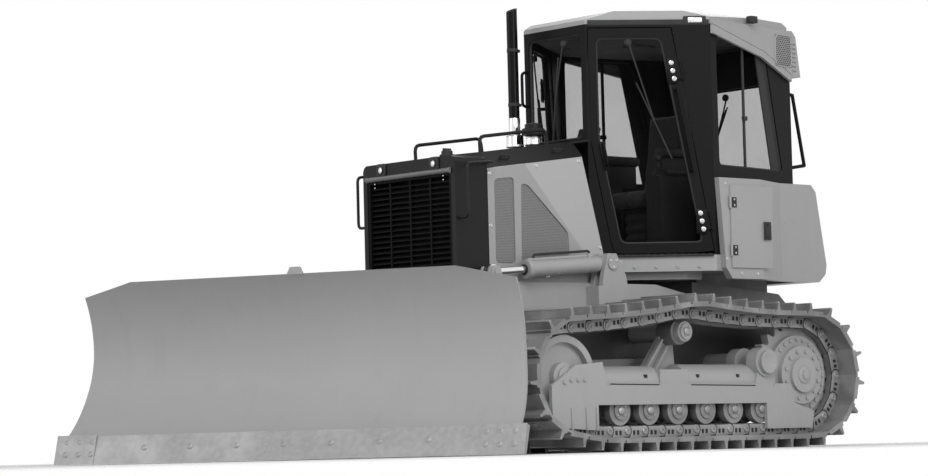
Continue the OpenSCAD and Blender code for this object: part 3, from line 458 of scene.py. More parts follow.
def outlinePlate(points, depth, edge=0.003):  # flat outline in x and y, raised along z
    clearPick()
    bpy.ops.mesh.primitive_circle_add(vertices=len(points), radius=1, fill_type="NGON")
    piece = bpy.context.object
    for vertex, (x, y) in zip(piece.data.vertices, points):
        vertex.co = (x, y, 0)
    bpy.ops.object.mode_set(mode="EDIT")
    bpy.ops.mesh.select_all(action="SELECT")
    bpy.ops.mesh.extrude_region_move(TRANSFORM_OT_translate={"value": (0, 0, depth)})
    bpy.ops.mesh.select_all(action="SELECT")
    bpy.ops.mesh.normals_make_consistent(inside=False)
    putDown(piece)
    return softenEdges(piece, edge) if edge else piece


def tubeAlong(points, radius, closed=False, smooth=True, sides=3):
    clearPick()
    line = bpy.data.curves.new("line", "CURVE")
    line.dimensions = "3D"
    line.bevel_depth = radius
    line.bevel_resolution = sides
    line.use_fill_caps = True
    if smooth:
        run = line.splines.new("BEZIER")
        run.bezier_points.add(len(points) - 1)
        for knot, at in zip(run.bezier_points, points):
            knot.co = at
            knot.handle_left_type = knot.handle_right_type = "AUTO"
    else:
        run = line.splines.new("POLY")
        run.points.add(len(points) - 1)
        for knot, at in zip(run.points, points):
            knot.co = (*at, 1)
    run.use_cyclic_u = closed
    piece = bpy.data.objects.new("tube", line)
    bpy.context.scene.collection.objects.link(piece)
    takeUp(piece)
    bpy.ops.object.convert(target="MESH")
    return bpy.context.object


def roundedPath(points, bend, steps=4):  # corners of a pipe eased to arcs
    path = [Vector(points[0])]
    for before, corner, after in zip(points, points[1:], points[2:]):
        before, corner, after = Vector(before), Vector(corner), Vector(after)
        a = corner + (before - corner).normalized() * bend
        b = corner + (after - corner).normalized() * bend
        for i in range(steps + 1):
            t = i / steps
            path.append(a * (1 - t) ** 2 + corner * 2 * t * (1 - t) + b * t ** 2)
    return path + [Vector(points[-1])]


def joinAll(pieces):
    clearPick()
    for piece in pieces:
        piece.select_set(True)
    bpy.context.view_layer.objects.active = pieces[0]
    if len(pieces) > 1:
        bpy.ops.object.join()
    return settle(bpy.context.object)


def copyTo(model, places):  # the model once at each place, as one piece
    copies = []
    for place in places:
        twin = model.copy()
        twin.data = model.data.copy()
        twin.matrix_world = place
        bpy.context.scene.collection.objects.link(twin)
        copies.append(twin)
    bpy.data.objects.remove(model)
    return joinAll(copies)


def handOver(piece, name, body, slot, look=None):  # the slot's own finish unless another is given
    takeUp(piece)
    bpy.ops.object.shade_smooth_by_angle(angle=0.6)
    piece.name = name
    piece.data.name = name
    piece.data.materials.clear()
    piece.data.materials.append(look or finishes[slot])
    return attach(piece, body)


def facing(at, normal):  # place whose z axis looks along the normal
    return Matrix.Translation(at) @ Vector(normal).to_track_quat("Z", "Y").to_matrix().to_4x4()


def hexBolt(size):  # washer, hexagon head and domed end
    washer = turnedShape([(size * 1.25, 0), (size * 1.25, size * 0.18), (size * 1.1, size * 0.24)], 12)
    head = turnedShape([(size, size * 0.2), (size, size * 0.75), (size * 0.86, size * 0.86)], 6)
    return joinAll([washer, head])


bladeFrame = standAt(3.445, 0, 0) @ Matrix.Rotation(math.radians(25), 4, "Z") @ shift(0.6, 0, 0)
doorAngle = math.atan2(0.8 - 0.31, 0.6 - 1.325)
sideAngle = math.atan2(0.62 - 0.8, -0.39 - 0.6)
doorFrame = standAt(1.325, 0.31, 0) @ Matrix.Rotation(doorAngle, 4, "Z")
sideFrame = standAt(0.6, 0.8, 0) @ Matrix.Rotation(sideAngle, 4, "Z")
flip = shift(0, 2 * sprocket.y, 0) @ Matrix.Diagonal((1, -1, 1, 1))  # other side of the machine


def atSide(piece, side):  # as modelled on the left, or turned over to the right
    if side < 0:
        piece = setAt(piece, flip)
        piece.data.flip_normals()
    return piece


def handBoth(left, name, bodies, slot, look=None):  # a piece and its twin on the other side
    right = left.copy()
    right.data = left.data.copy()
    bpy.context.scene.collection.objects.link(right)
    atSide(right, -1)
    handOver(left, name + "_left", bodies[0], slot, look)
    handOver(right, name + "_right", bodies[1], slot, look)


fixed = ("tractor", "tractor")
doors = ("left_door", "right_door")


def bladeBolts():
    edge = {"single": 7, "pitch": 0.332, "foot": (0.0, 0.004), "head": (-0.064, 0.186), "size": 0.017}
    slope = Vector((edge["head"][0] - edge["foot"][0], 0, edge["head"][1] - edge["foot"][1]))
    out = Vector((slope.z, 0, -slope.x)).normalized()

    def place(u, share, proud):
        at = Vector((edge["foot"][0], u, edge["foot"][1])) + slope * share + out * proud
        return bladeFrame @ facing(at, out)

    spots = [place((i - 3) * edge["pitch"], 0.55, 0.0005) for i in range(edge["single"])]
    for side in (-1, 1):
        for column in range(3):
            for share in (0.35, 0.78):
                spots.append(place(side * (1.38 + column * 0.095), share, 0.0055))
    r = edge["size"]
    head = turnedShape([(r * 1.15, -0.002), (r * 1.15, 0.002), (r * 0.85, 0.005), (r * 0.5, 0.006),
        (r * 0.45, 0.004)], 16)
    handOver(copyTo(head, spots), "blade_bolts", "blade", "wear_steel")


bladeBolts()

chain = {"gauge": 0.889, "pitch": 0.16, "shoeOut": 0.08, "tipOut": 0.135, "sag": 0.022, "width": 0.51}
pulleys = [(0, 0.495, 0.36), (1.95, 0.265, 0.13), (2.235, 0.49, 0.315), (1.12, 0.79, 0.125)]


def chainPins():
    heads = []
    for (ax, az, ar), (bx, bz, br) in zip(pulleys, pulleys[1:] + pulleys[:1]):
        far = math.hypot(bx - ax, bz - az)
        heads.append(math.atan2(bz - az, bx - ax) + math.asin((ar - br) / far))

    def rim(i, t):
        x, z, r = pulleys[i]
        return (x + r * math.sin(t), z - r * math.cos(t))

    runs = []
    for i in range(4):
        a, b = rim(i, heads[i]), rim((i + 1) % 4, heads[i])
        runs.append(("line", i, math.hypot(b[0] - a[0], b[1] - a[1])))
        j = (i + 1) % 4
        wrap = (heads[j] - heads[i]) % (2 * math.pi)
        runs.append(("arc", j, wrap * pulleys[j][2]))
    whole = sum(length for _, _, length in runs)
    count = round(whole / chain["pitch"])
    pins = []
    for k in range(count):
        s = (k + 0.5) * whole / count
        for kind, i, length in runs:
            if s <= length:
                break
            s -= length
        if kind == "line":
            x, z = rim(i, heads[i])
            dip = 0 if i < 2 else chain["sag"] * 4 * s / length * (1 - s / length)
            pins.append((x + s * math.cos(heads[i]), z + s * math.sin(heads[i]) - dip))
        else:
            t = heads[(i + 3) % 4] + s / pulleys[i][2]
            pins.append(rim(i, t))
    return pins


def linkPlaces(side):  # each link: x along the chain, y out of the loop, z to the left
    pins = chainPins()
    places = []
    for p, q in zip(pins, pins[1:] + pins[:1]):
        t = Vector((q[0] - p[0], 0, q[1] - p[1]))
        n = t.length
        t.normalize()
        out = Vector((t.z, 0, -t.x))
        left = t.cross(out)
        turn = Matrix((t, out, left)).transposed().to_4x4()
        places.append((standAt(p[0], side * chain["gauge"], p[1]) @ turn, n))
    return places


def chainLinks():
    link = {"boss": 0.036, "gap": 0.043, "low": -0.028, "top": 0.05, "lift": 0.004, "plate": 0.007,
        "rail": 0.094}

    def arc(x, r, angles):
        return [(x + r * math.cos(math.radians(a)), link["lift"] + r * math.sin(math.radians(a)))
            for a in angles]

    ring = arc(0, link["boss"], range(70, 291, 20))
    hollow = arc(chain["pitch"], link["gap"], range(228, 131, -16))
    upper = [(0.128, link["top"]), (0.04, link["top"])]
    plate = outlinePlate(ring + [(0.045, link["low"]), (0.118, link["low"])] + hollow + upper,
        link["plate"], 0.0015)
    cap = turnedShape([(0.022, 0), (0.022, 0.012), (0.019, 0.015), (0.012, 0.015), (0.01, 0.011)], 14)
    model = joinAll([plate, setAt(cap, shift(0, link["lift"], 0))])
    eye = [(-0.011, -0.01), (-0.007, -0.014), (0.007, -0.014), (0.011, -0.01), (0.011, 0.012),
        (0.007, 0.016), (-0.007, 0.016), (-0.011, 0.012)]
    holes = [setAt(outlinePlate(eye, 0.0015, 0.0), shift(x, 0.012, link["plate"] - 0.0005))
        for x in (0.062, 0.098)]
    back = outlinePlate([(0, -0.034), (chain["pitch"], -0.034), (chain["pitch"], 0.045), (0, 0.045)],
        0.0015, 0.0)
    window = joinAll(holes + [back])
    for side, word in ((1, "left"), (-1, "right")):
        spots = []
        for place, n in linkPlaces(side):
            fit = Matrix.Diagonal((n / chain["pitch"], 1, 1, 1))
            spots.append(place @ fit @ shift(0, 0, link["rail"]))
            spots.append(place @ fit @ Matrix.Diagonal((1, 1, -1, 1)) @ shift(0, 0, link["rail"]))
        for shape, name, look in ((model, "chain_links_", extra["link"]),
            (window, "link_windows_", extra["rubber"])):
            twin = shape.copy()
            twin.data = shape.data.copy()
            bpy.context.scene.collection.objects.link(twin)
            row = copyTo(twin, spots)
            pickFaces(row, lambda middle, normal: True)
            bpy.ops.mesh.normals_make_consistent(inside=False)
            handOver(putDown(row), name + word, "tractor", "track_steel", look)
    bpy.data.objects.remove(model)
    bpy.data.objects.remove(window)


def shoeTrim():
    trim = {"bolt": 0.014, "cols": (0.072, -0.072), "rows": (0.082, 0.128)}
    for side, word in ((1, "left"), (-1, "right")):
        bolts, tips = [], []
        for place, _ in linkPlaces(side):
            for col in trim["cols"]:
                for row in trim["rows"]:
                    bolts.append(place @ facing((row, chain["shoeOut"] - 0.001, col), (0, 1, 0)))
            tips.append(place @ shift(0.032, chain["tipOut"] - 0.0045, 0))
        head = turnedShape([(trim["bolt"], 0), (trim["bolt"], 0.011), (trim["bolt"] * 0.8, 0.013)], 6)
        handOver(copyTo(head, bolts), "shoe_bolts_" + word, "tractor", "track_steel", extra["link"])
        tip = block((0.0186, 0.0098, chain["width"] + 0.0006), 0.0012)
        handOver(copyTo(tip, tips), "grouser_tips_" + word, "tractor", "track_steel", extra["worn"])


chainLinks()
shoeTrim()
print("chains dressed")


def hoodTop(x):  # top of the hood, from the front of the radiator guard back
    return 2.104 - (x - 1.547) * 0.132


def frontLamps():
    lamp = {"x": 2.69, "y": 0.27, "z": 1.913, "half": 0.045, "ease": 0.012, "deep": 0.014}
    h, e = lamp["half"], lamp["ease"]
    square = [(-h, -h + e), (-h + e, -h), (h - e, -h), (h, -h + e), (h, h - e), (h - e, h), (-h + e, h),
        (-h, h - e)]
    bezels, lenses = [], []
    for side in (1, -1):
        at = spot(lamp["x"], side * lamp["y"], lamp["z"])
        bezels.append(setAt(outlinePlate(square, lamp["deep"], 0.003),
            facing(at - Vector((0.011, 0, 0)), (1, 0, 0))))
        rim = turnedShape([(0.029, 0), (0.029, 0.009), (0.026, 0.011), (0.023, 0.011), (0.022, 0.006)], 28)
        bezels.append(setAt(rim, facing(at, (1, 0, 0))))
        lens = turnedShape([(0.0225, 0), (0.0225, 0.006), (0.018, 0.009), (0.01, 0.011), (0.003, 0.0115)],
            28)
        lenses.append(setAt(lens, facing(at, (1, 0, 0))))
    handOver(joinAll(bezels), "lamp_bezels", "tractor", "dark_paint", extra["rubber"])
    handOver(joinAll(lenses), "lamp_lenses", "tractor", "glass", extra["lamp"])


def grilleBar():
    bar = {"half": 0.425, "z": 1.858, "x": 2.684, "r": 0.017}
    pieces = [tubeAlong([spot(bar["x"], -bar["half"], bar["z"]), spot(bar["x"], bar["half"], bar["z"])],
        bar["r"], smooth=False, sides=4)]
    for y in (-bar["half"], bar["half"]):
        cap = turnedShape([(0.018, -0.006), (0.02, -0.004), (0.02, 0.004), (0.018, 0.006)], 20)
        pieces.append(setAt(cap, facing(spot(bar["x"], y, bar["z"]), (0, 1, 0))))
    handOver(joinAll(pieces), "grille_bar", "tractor", "dark_paint", extra["bar"])
    clips = [facing(spot(2.681, y, z), (1, 0, 0)) for y in (-0.34, 0.36) for z in (1.8, 1.826)]
    clip = turnedShape([(0.006, 0), (0.006, 0.006), (0.004, 0.008)], 10)
    handOver(copyTo(clip, clips), "grille_clips", "tractor", "rod_chrome", extra["zinc"])


def sideMesh():
    mesh = {"depth": 0.004, "y": 0.4585, "inset": 0.008}
    slot = {"points": [(2.164, 1.252), (2.164, 1.83), (2.339, 1.812), (2.339, 1.252)], "bend": 0.036}
    wedge = {"points": [(2.1, 1.79), (2.04, 1.785), (1.682, 1.474), (1.674, 1.276), (2.11, 1.267)],
        "bend": 0.028}
    for side, word in ((1, "left"), (-1, "right")):
        pieces = []
        for shape in (slot, wedge):
            corners = [Vector((x, z, 0)) for x, z in shape["points"]]
            middle = sum(corners, Vector()) / len(corners)
            corners = [c + (middle - c).normalized() * mesh["inset"] for c in corners]
            loop = roundedPath([corners[-1]] + corners + [corners[0]], shape["bend"])[1:-1]
            plate = outlinePlate([(p.x, p.y) for p in loop], mesh["depth"], 0.0)
            turn = Matrix(((1, 0, 0, 0), (0, 0, side, side * mesh["y"]), (0, 1, 0, 0), (0, 0, 0, 1)))
            pieces.append(setAt(plate, Matrix.Translation(sprocket) @ turn))
        both = joinAll(pieces)
        pickFaces(both, lambda middle, normal: True)
        bpy.ops.mesh.normals_make_consistent(inside=False)
        putDown(both)
        handOver(both, "side_mesh_" + word, "tractor", "body_grey", extra["mesh"])


def panelBolts():
    shield = [(2.378, 1.845), (2.378, 1.5), (2.378, 1.18), (1.96, 1.912), (1.57, 1.96), (1.39, 1.38),
        (1.385, 1.18), (1.88, 1.18)]
    places = [facing(spot(x, side * 0.4702, z), (0, side, 0)) for side in (1, -1) for x, z in shield]
    handOver(copyTo(hexBolt(0.011), places), "panel_bolts", "tractor", "rod_chrome", extra["zinc"])


def hoodTrim():
    seam = {"x": 2.4, "width": 0.004}
    strips = []
    for side in (1, -1):
        foot, crest = (seam["x"], side * 0.471, 1.14), (seam["x"], side * 0.471, 1.87)
        strips.append(tubeAlong([spot(*foot), spot(*crest)], seam["width"] / 2, smooth=False, sides=1))
    cap = turnedShape([(0.05, 0), (0.05, 0.012), (0.038, 0.014), (0.038, 0.034), (0.03, 0.04),
        (0.012, 0.042)], 24)
    grip = setAt(block((0.07, 0.012, 0.016), 0.003), shift(0, 0, 0.046))
    filler = setAt(joinAll([cap, grip]), standAt(2.5, 0.19, 1.976))
    handOver(joinAll(strips + [filler]), "hood_trim", "tractor", "dark_paint", extra["rubber"])
    latches = []
    for side in (1, -1):
        for x in (1.72, 2.2):
            plate = block((0.09, 0.008, 0.05), 0.003)
            paddle = setAt(block((0.06, 0.01, 0.026), 0.004), shift(0, 0.006 * side, -0.004))
            lean = Matrix.Rotation(-side * math.atan2(0.105, 0.112), 4, "X")
            latches.append(setAt(joinAll([plate, paddle]),
                standAt(x, side * 0.4205, (hoodTop(x) * 2 - 0.112) / 2) @ lean))
    handOver(joinAll(latches), "hood_latches", "tractor", "dark_paint", extra["rubber"])


def stackTrim():
    stack = {"x": 1.49, "y": -0.25}
    low = hoodTop(stack["x"])
    collar = turnedShape([(0.0605, 0.011), (0.063, 0.013), (0.063, 0.03), (0.061, 0.034), (0.061, 0.084),
        (0.056, 0.094), (0.041, 0.098)], 32)
    sleeve = turnedShape([(0.0388, 0.09), (0.0405, 0.094), (0.0405, 0.21), (0.0388, 0.214)], 32)
    bands = [setAt(collar, standAt(stack["x"], stack["y"], low)),
        setAt(sleeve, standAt(stack["x"], stack["y"], low))]
    handOver(joinAll(bands), "stack_collar", "tractor", "rod_chrome")
    clamp = turnedShape([(0.0385, -0.012), (0.041, -0.01), (0.041, 0.01), (0.0385, 0.012)], 28)
    lug = setAt(block((0.03, 0.02, 0.02), 0.003), shift(-0.05, 0, 0))
    model = joinAll([clamp, lug])
    handOver(copyTo(model, [standAt(stack["x"], stack["y"], z) for z in (2.42, 2.8)]), "stack_clamps",
        "tractor", "dark_paint", extra["rubber"])


def airCleaner():
    cleaner = {"x": 1.49, "y": -0.06, "vanes": 28}
    base = standAt(cleaner["x"], cleaner["y"], hoodTop(cleaner["x"]))
    bowl = turnedShape([(0.0562, 0.004), (0.06, 0.01), (0.06, 0.022), (0.0575, 0.028), (0.0575, 0.062),
        (0.06, 0.068), (0.0562, 0.074)], 32)
    handOver(setAt(bowl, base), "cleaner_bowl", "tractor", "rod_chrome")
    parts = []
    for k in range(cleaner["vanes"]):
        turn = Matrix.Rotation(2 * math.pi * k / cleaner["vanes"], 4, "Z")
        parts.append(base @ turn @ shift(0.0765, 0, 0.101))
    vanes = copyTo(block((0.006, 0.008, 0.036), 0.0015), parts)
    dome = setAt(turnedShape([(0.0585, 0.148), (0.0585, 0.152), (0.05, 0.158), (0.03, 0.162),
        (0.012, 0.163), (0.012, 0.172), (0.008, 0.174)], 28), base)
    handOver(joinAll([vanes, dome]), "cleaner_cap", "tractor", "dark_paint", extra["rubber"])


frontLamps()
grilleBar()
sideMesh()
panelBolts()
hoodTrim()
stackTrim()
airCleaner()
print("hood dressed")

doorLean = 0.26 / 1.555


def doorRear(z):
    return 0.86 - (z - 1.345) * doorLean


def doorHardware():
    hinge = {"z": (1.56, 2.6), "tall": 0.17, "bolts": (-0.055, 0, 0.055)}
    plates, bolts = [], []
    for z in hinge["z"]:
        x = doorRear(z)
        low, high = z - hinge["tall"] / 2, z + hinge["tall"] / 2
        corners = [(x - 0.088, low), (x - 0.012, low), (x - 0.012, high), (x - 0.088, high)]
        flat = Matrix(((1, 0, 0, 0), (0, 0, -1, -0.0142), (0, 1, 0, 0), (0, 0, 0, 1)))
        plates.append(setAt(outlinePlate(corners, 0.006, 0.002), doorFrame @ flat))
        bolts += [doorFrame @ facing((doorRear(z + dz) - 0.048, -0.0202, z + dz), (0, -1, 0))
            for dz in hinge["bolts"]]
    grip = ((0.125, 0.0, 1.95), (0.125, -0.045, 1.95), (0.1, -0.045, 2.1), (0.1, 0.0, 2.1))
    pull = roundedPath([doorFrame @ Vector(p) for p in grip], 0.02)
    rose = setAt(block((0.04, 0.012, 0.2), 0.004),
        doorFrame @ shift(0.112, -0.004, 2.02) @ Matrix.Rotation(-0.16, 4, "Y"))
    left = joinAll(plates + [tubeAlong(pull, 0.008, smooth=False), rose])
    handBoth(left, "door_hardware", doors, "cab_black")
    left = copyTo(hexBolt(0.013), bolts)
    handBoth(left, "hinge_bolts", doors, "rod_chrome", extra["zinc"])


def gasket(points, place, width=0.011):  # rubber round a pane's edge
    corners = [place @ Vector(p) for p in points]
    path = roundedPath([corners[-1]] + corners + [corners[0]], 0.05)[1:-1]
    return tubeAlong(path, width, closed=True, smooth=False, sides=2)


def windowSeals():
    low, high = doorRear(1.345) - 0.075, doorRear(2.9) - 0.07
    doorPane = [(0.075, 0.012, 2.83), (0.075, 0.012, 2.14), (0.21, 0.012, 1.415), (low, 0.012, 1.415),
        (high, 0.012, 2.83)]
    sidePane = [(0.07, 0.02, 2.85), (0.07, 0.02, 1.95), (0.876, 0.02, 1.95), (0.676, 0.02, 2.85)]
    frontPane = [(1.306, -0.265, 2.87), (1.306, 0.265, 2.87), (1.306, 0.265, 2.15), (1.306, -0.265, 2.15)]
    rearPane = [(-0.372, -0.48, 2.6), (-0.372, 0.48, 2.6), (-0.372, 0.48, 1.95), (-0.372, -0.48, 1.95)]
    here = Matrix.Translation(sprocket)
    left = gasket(doorPane, doorFrame)
    handBoth(left, "door_seal", doors, "trim", extra["rubber"])
    post = setAt(block((0.024, 0.012, 0.89), 0.003), sideFrame @ shift(0.42, 0.0185, 2.4))
    catch = setAt(block((0.05, 0.02, 0.03), 0.004), sideFrame @ shift(0.42, 0.01, 2.3))
    flat = Matrix(((1, 0, 0, 0), (0, 0, 1, 0.0125), (0, -1, 0, 0), (0, 0, 0, 1)))
    strip = [(0.75, -1.956), (0.868, -1.956), (0.672, -2.846), (0.565, -2.846)]
    rear = setAt(outlinePlate(strip, 0.012, 0.003), sideFrame @ flat)
    left = joinAll([gasket(sidePane, sideFrame), post, catch, rear])
    handBoth(left, "side_seal", fixed, "trim", extra["rubber"])
    handOver(joinAll([gasket(frontPane, here), gasket(rearPane, here)]), "screen_seals", "tractor", "trim",
        extra["rubber"])


def wiper(place, reach, sweep):  # hub, arm and blade on a pane that lies in the place's x and z
    hub = setAt(turnedShape([(0.026, 0), (0.026, 0.016), (0.018, 0.024), (0.01, 0.026)], 16),
        place @ facing((0, 0, 0), (0, -1, 0)))
    tip = Vector((reach * math.sin(sweep), -0.016, -reach * math.cos(sweep)))
    bends = (Vector((0, -0.02, 0)), tip * 0.3 + Vector((0, -0.014, 0)), tip * 0.7)
    arm = tubeAlong([place @ p for p in bends], 0.006)
    along = Vector((math.sin(sweep + 0.12), 0, -math.cos(sweep + 0.12)))
    middle = tip * 0.72
    rail = tubeAlong([place @ (middle - along * 0.3), place @ (middle + along * 0.28)], 0.006, smooth=False)
    lip = Matrix.Translation(middle + Vector((0, 0.007, 0))) @ Matrix.Rotation(-sweep - 0.12, 4, "Y")
    return joinAll([hub, arm, rail, setAt(block((0.005, 0.012, 0.56), 0.001), place @ lip)])


def wipers():
    front = standAt(1.298, 0.08, 2.82) @ Matrix.Rotation(math.radians(90), 4, "Z")
    rearWall = standAt(-0.364, 0, 2.55) @ Matrix.Rotation(math.radians(-90), 4, "Z")
    screens = joinAll([wiper(front, 0.55, -0.25), wiper(rearWall, 0.5, 0.35)])
    handOver(screens, "screen_wipers", "tractor", "trim", extra["rubber"])
    left = wiper(doorFrame @ shift(0.3, 0.017, 2.8), 0.8, 0.3)
    handBoth(left, "door_wiper", doors, "trim", extra["rubber"])


def cabHandles():
    rail = {"foot": 2.42, "head": 2.66, "bend": 0.03, "r": 0.011}
    wall, out = (1.318, 0.285), (1.362, 0.3)
    run = [(*wall, rail["foot"]), (*out, rail["foot"]), (*out, rail["head"]), (*wall, rail["head"])]
    bar = tubeAlong(roundedPath([spot(*p) for p in run], rail["bend"]), rail["r"], smooth=False)
    handOver(atSide(bar, -1), "front_handle_right", "tractor", "cab_black")


def roofTrim():
    lampPlace = doorFrame @ shift(0.77, 0.006, 2.953)
    pods, lenses = [], []
    for side in (1, -1):
        pod = setAt(block((0.16, 0.03, 0.056), 0.008), lampPlace)
        lens = setAt(block((0.1, 0.012, 0.036), 0.005), lampPlace @ shift(0, -0.014, 0))
        pods.append(atSide(pod, side))
        lenses.append(atSide(lens, side))
        rim = turnedShape([(0.047, 0), (0.05, 0.004), (0.05, 0.012), (0.042, 0.014), (0.039, 0.006)], 28)
        pods.append(setAt(rim, facing(spot(-0.478, side * 0.47, 2.59), (-1, 0, 0))))
        bowl = turnedShape([(0.04, 0.001), (0.04, 0.006), (0.03, 0.01), (0.012, 0.012)], 28)
        lenses.append(setAt(bowl, facing(spot(-0.479, side * 0.47, 2.59), (-1, 0, 0))))
    box = setAt(block((0.07, 0.05, 0.05), 0.006), standAt(0.14, 0.768, 2.992))
    handOver(joinAll(pods + [box]), "roof_fittings", "tractor", "cab_black", extra["rubber"])
    handOver(joinAll(lenses), "roof_lenses", "tractor", "glass", extra["lamp"])
    panel = {"from": 0.79, "to": 0.995, "low": 2.7, "high": 2.925}
    wide, tall = panel["to"] - panel["from"], panel["high"] - panel["low"]
    centre = shift((panel["from"] + panel["to"]) / 2, -0.0255, (panel["high"] + panel["low"]) / 2)
    sheet = setAt(block((wide, 0.004, tall), 0.001), sideFrame @ centre)
    handBoth(sheet, "roof_vent", fixed, "body_grey", extra["vent"])
    edge = [(panel["from"], -0.026, panel["low"]), (panel["to"], -0.026, panel["low"]),
        (panel["to"], -0.026, panel["high"]), (panel["from"], -0.026, panel["high"])]
    left = gasket(edge, sideFrame, 0.005)
    handBoth(left, "vent_edge", fixed, "body_grey")


def roofEdges():
    gutter = {"from": 0.02, "to": 0.868, "low": 2.918, "tall": 0.04, "deep": 0.012}
    length = gutter["to"] - gutter["from"]
    bar = block((length, gutter["deep"], gutter["tall"]), 0.003)
    lip = setAt(block((length, 0.006, 0.006), 0.0015), shift(0, -0.006, -0.012))
    left = setAt(joinAll([bar, lip]), doorFrame
        @ shift(gutter["from"] + length / 2, 0.002, gutter["low"] + gutter["tall"] / 2))
    handBoth(left, "roof_gutter", fixed, "cab_black", extra["rubber"])
    skirt = [(0.004, 2.922), (0.004, 2.862), (0.62, 2.744), (0.998, 2.6), (0.998, 2.648), (0.64, 2.787)]
    flat = Matrix(((1, 0, 0, 0), (0, 0, -1, -0.002), (0, 1, 0, 0), (0, 0, 0, 1)))
    left = setAt(outlinePlate(skirt, 0.0218, 0.0), sideFrame @ flat)
    handBoth(left, "roof_skirt", fixed, "body_grey")


def roofLiner():
    half = [(1.24, 0.28), (0.58, 0.72), (-0.33, 0.56)]
    outline = half + [(x, -y) for x, y in reversed(half)]
    sheet = setAt(outlinePlate(outline, 0.014, 0.004), standAt(0, 0, 2.872))
    vent = turnedShape([(0.05, 0), (0.05, -0.008), (0.042, -0.012), (0.03, -0.012), (0.024, -0.006)], 20)
    vents = copyTo(vent, [standAt(x, y, 2.8722) for x in (0.85, -0.05) for y in (-0.4, 0.4)])
    pod = setAt(block((0.22, 0.12, 0.02), 0.007), standAt(0.5, 0, 2.864))
    handOver(joinAll([sheet, vents, pod]), "roof_liner", "tractor", "trim", extra["liner"])


doorHardware()
roofLiner()
roofEdges()
windowSeals()
wipers()
cabHandles()
roofTrim()
print("cab dressed")


def ringOf(x, y, z, radius, count, normal, start=0.0):  # places round a cap that faces sideways
    out = []
    for k in range(count):
        a = start + 2 * math.pi * k / count
        out.append(facing(spot(x + radius * math.cos(a), y, z + radius * math.sin(a)), normal))
    return out


def trackTrim():
    caps = {"beam": 1.029, "pivot": (0.395, 0.585), "carrier": (1.12, 0.79), "roller": 0.265,
        "rollers": [0.415 + 0.267 * k for k in range(6)], "ribs": (2.0, 2.09, 2.22),
        "holeShades": (0.644, 1.031, 1.519),
        "bolts": ((2.1, 0.47), (2.16, 0.47), (2.22, 0.47), (2.28, 0.455)),
        "gapShadows": (((0.5, 0.424), (1.12, 0.432)), ((1.42, 0.434), (1.86, 0.44))),
        "flanges": (((1.29, 0.535), (1.172, 0.693)), ((1.38, 0.535), (1.214, 0.741)))}
    for side, word in ((1, "left"), (-1, "right")):
        out = (0, side, 0)
        big = ringOf(caps["pivot"][0], side * (caps["beam"] + 0.0282), caps["pivot"][1], 0.055, 6, out)
        big += [facing(spot(x, side * (caps["beam"] + 0.0002), z), out) for x, z in caps["bolts"]]
        handOver(copyTo(hexBolt(0.014), big), "frame_bolts_" + word, "tractor", "body_grey",
            finishes["cylinder_grey"])
        small = ringOf(caps["carrier"][0], side * 1.0012, caps["carrier"][1], 0.034, 4, out, 0.6)
        for x in caps["rollers"]:
            small += ringOf(x, side * 1.0012, caps["roller"], 0.042, 4, out, 0.78)
        handOver(copyTo(hexBolt(0.007), small), "roller_bolts_" + word, "tractor", "track_steel",
            extra["link"])
        drum = turnedShape([(0.05, -0.2), (0.086, -0.196), (0.086, -0.056), (0.08, -0.052), (0.07, -0.05),
            (0.066, -0.04)], 32)
        handOver(setAt(drum, facing(spot(caps["carrier"][0], side * 0.99, caps["carrier"][1]), out)),
            "carrier_drum_" + word, "tractor", "casting")
        ribs = [standAt(x, side * (caps["beam"] + 0.004), 0.215) for x in caps["ribs"]]
        rib = block((0.014, 0.012, 0.15), 0.003)
        handOver(copyTo(rib, ribs), "guard_ribs_" + word, "tractor", "body_grey")
        # painted shadow: dark strips along the gap above the guard plate
        dark = [tubeAlong([spot(x, side * 1.0275, z) for x, z in run], 0.0045, smooth=False, sides=2)
            for run in caps["gapShadows"]]
        # painted shade: dark blocks standing in for the shade inside the square holes in the beam
        for x in caps["holeShades"]:
            dark.append(setAt(block((0.026, 0.03, 0.022), 0.004), standAt(x, side * 0.994, 0.492)))
        handOver(joinAll(dark), "beam_gap_shadows_" + word, "tractor", "trim", extra["rubber"])
        sheet = [(0.39, 0.38), (0.39, 0.17), (0.43, 0.13), (1.94, 0.13), (1.98, 0.17), (1.98, 0.38)]
        inward = Matrix(((1, 0, 0, 0), (0, 0, -1, 0), (0, 1, 0, 0), (0, 0, 0, 1)))
        guard = setAt(outlinePlate(sheet, 0.008, 0.002), standAt(0, side * 0.755 + 0.004, 0) @ inward)
        handOver(guard, "inner_guard_" + word, "tractor", "dark_paint")
        flanges = []
        for foot, head in caps["flanges"]:
            run = Vector((head[0] - foot[0], 0, head[1] - foot[1]))
            turn = run.to_track_quat("X", "Z").to_matrix().to_4x4()
            bar = block((run.length, 0.05, 0.014), 0.003)
            flanges.append(setAt(bar, standAt((foot[0] + head[0]) / 2, side * 0.846,
                (foot[1] + head[1]) / 2) @ turn))
        handOver(joinAll(flanges), "carrier_flanges_" + word, "tractor", "body_grey")
        hub = turnedShape([(0.028, 0), (0.028, 0.008), (0.022, 0.013), (0.01, 0.015)], 20)
        spots = [facing(spot(x, side * 1.001, caps["roller"]), out) for x in caps["rollers"]]
        spots.append(facing(spot(caps["carrier"][0], side * 1.001, caps["carrier"][1]), out))
        handOver(copyTo(hub, spots), "roller_hubs_" + word, "tractor", "track_steel", extra["link"])
        plug = turnedShape([(0.06, 0), (0.06, 0.006), (0.052, 0.01), (0.03, 0.012), (0.03, 0.02),
            (0.018, 0.022)], 24)
        cover = setAt(plug, facing(spot(0, side * 1.024, 0.495), out))
        ring = turnedShape([(0.075, 0), (0.08, 0.004), (0.08, 0.014), (0.062, 0.016), (0.05, 0.01)], 28)
        cap = setAt(ring, facing(spot(caps["pivot"][0], side * 1.057, caps["pivot"][1]), out))
        handOver(joinAll([cover, cap]), "hub_covers_" + word, "tractor", "body_grey")


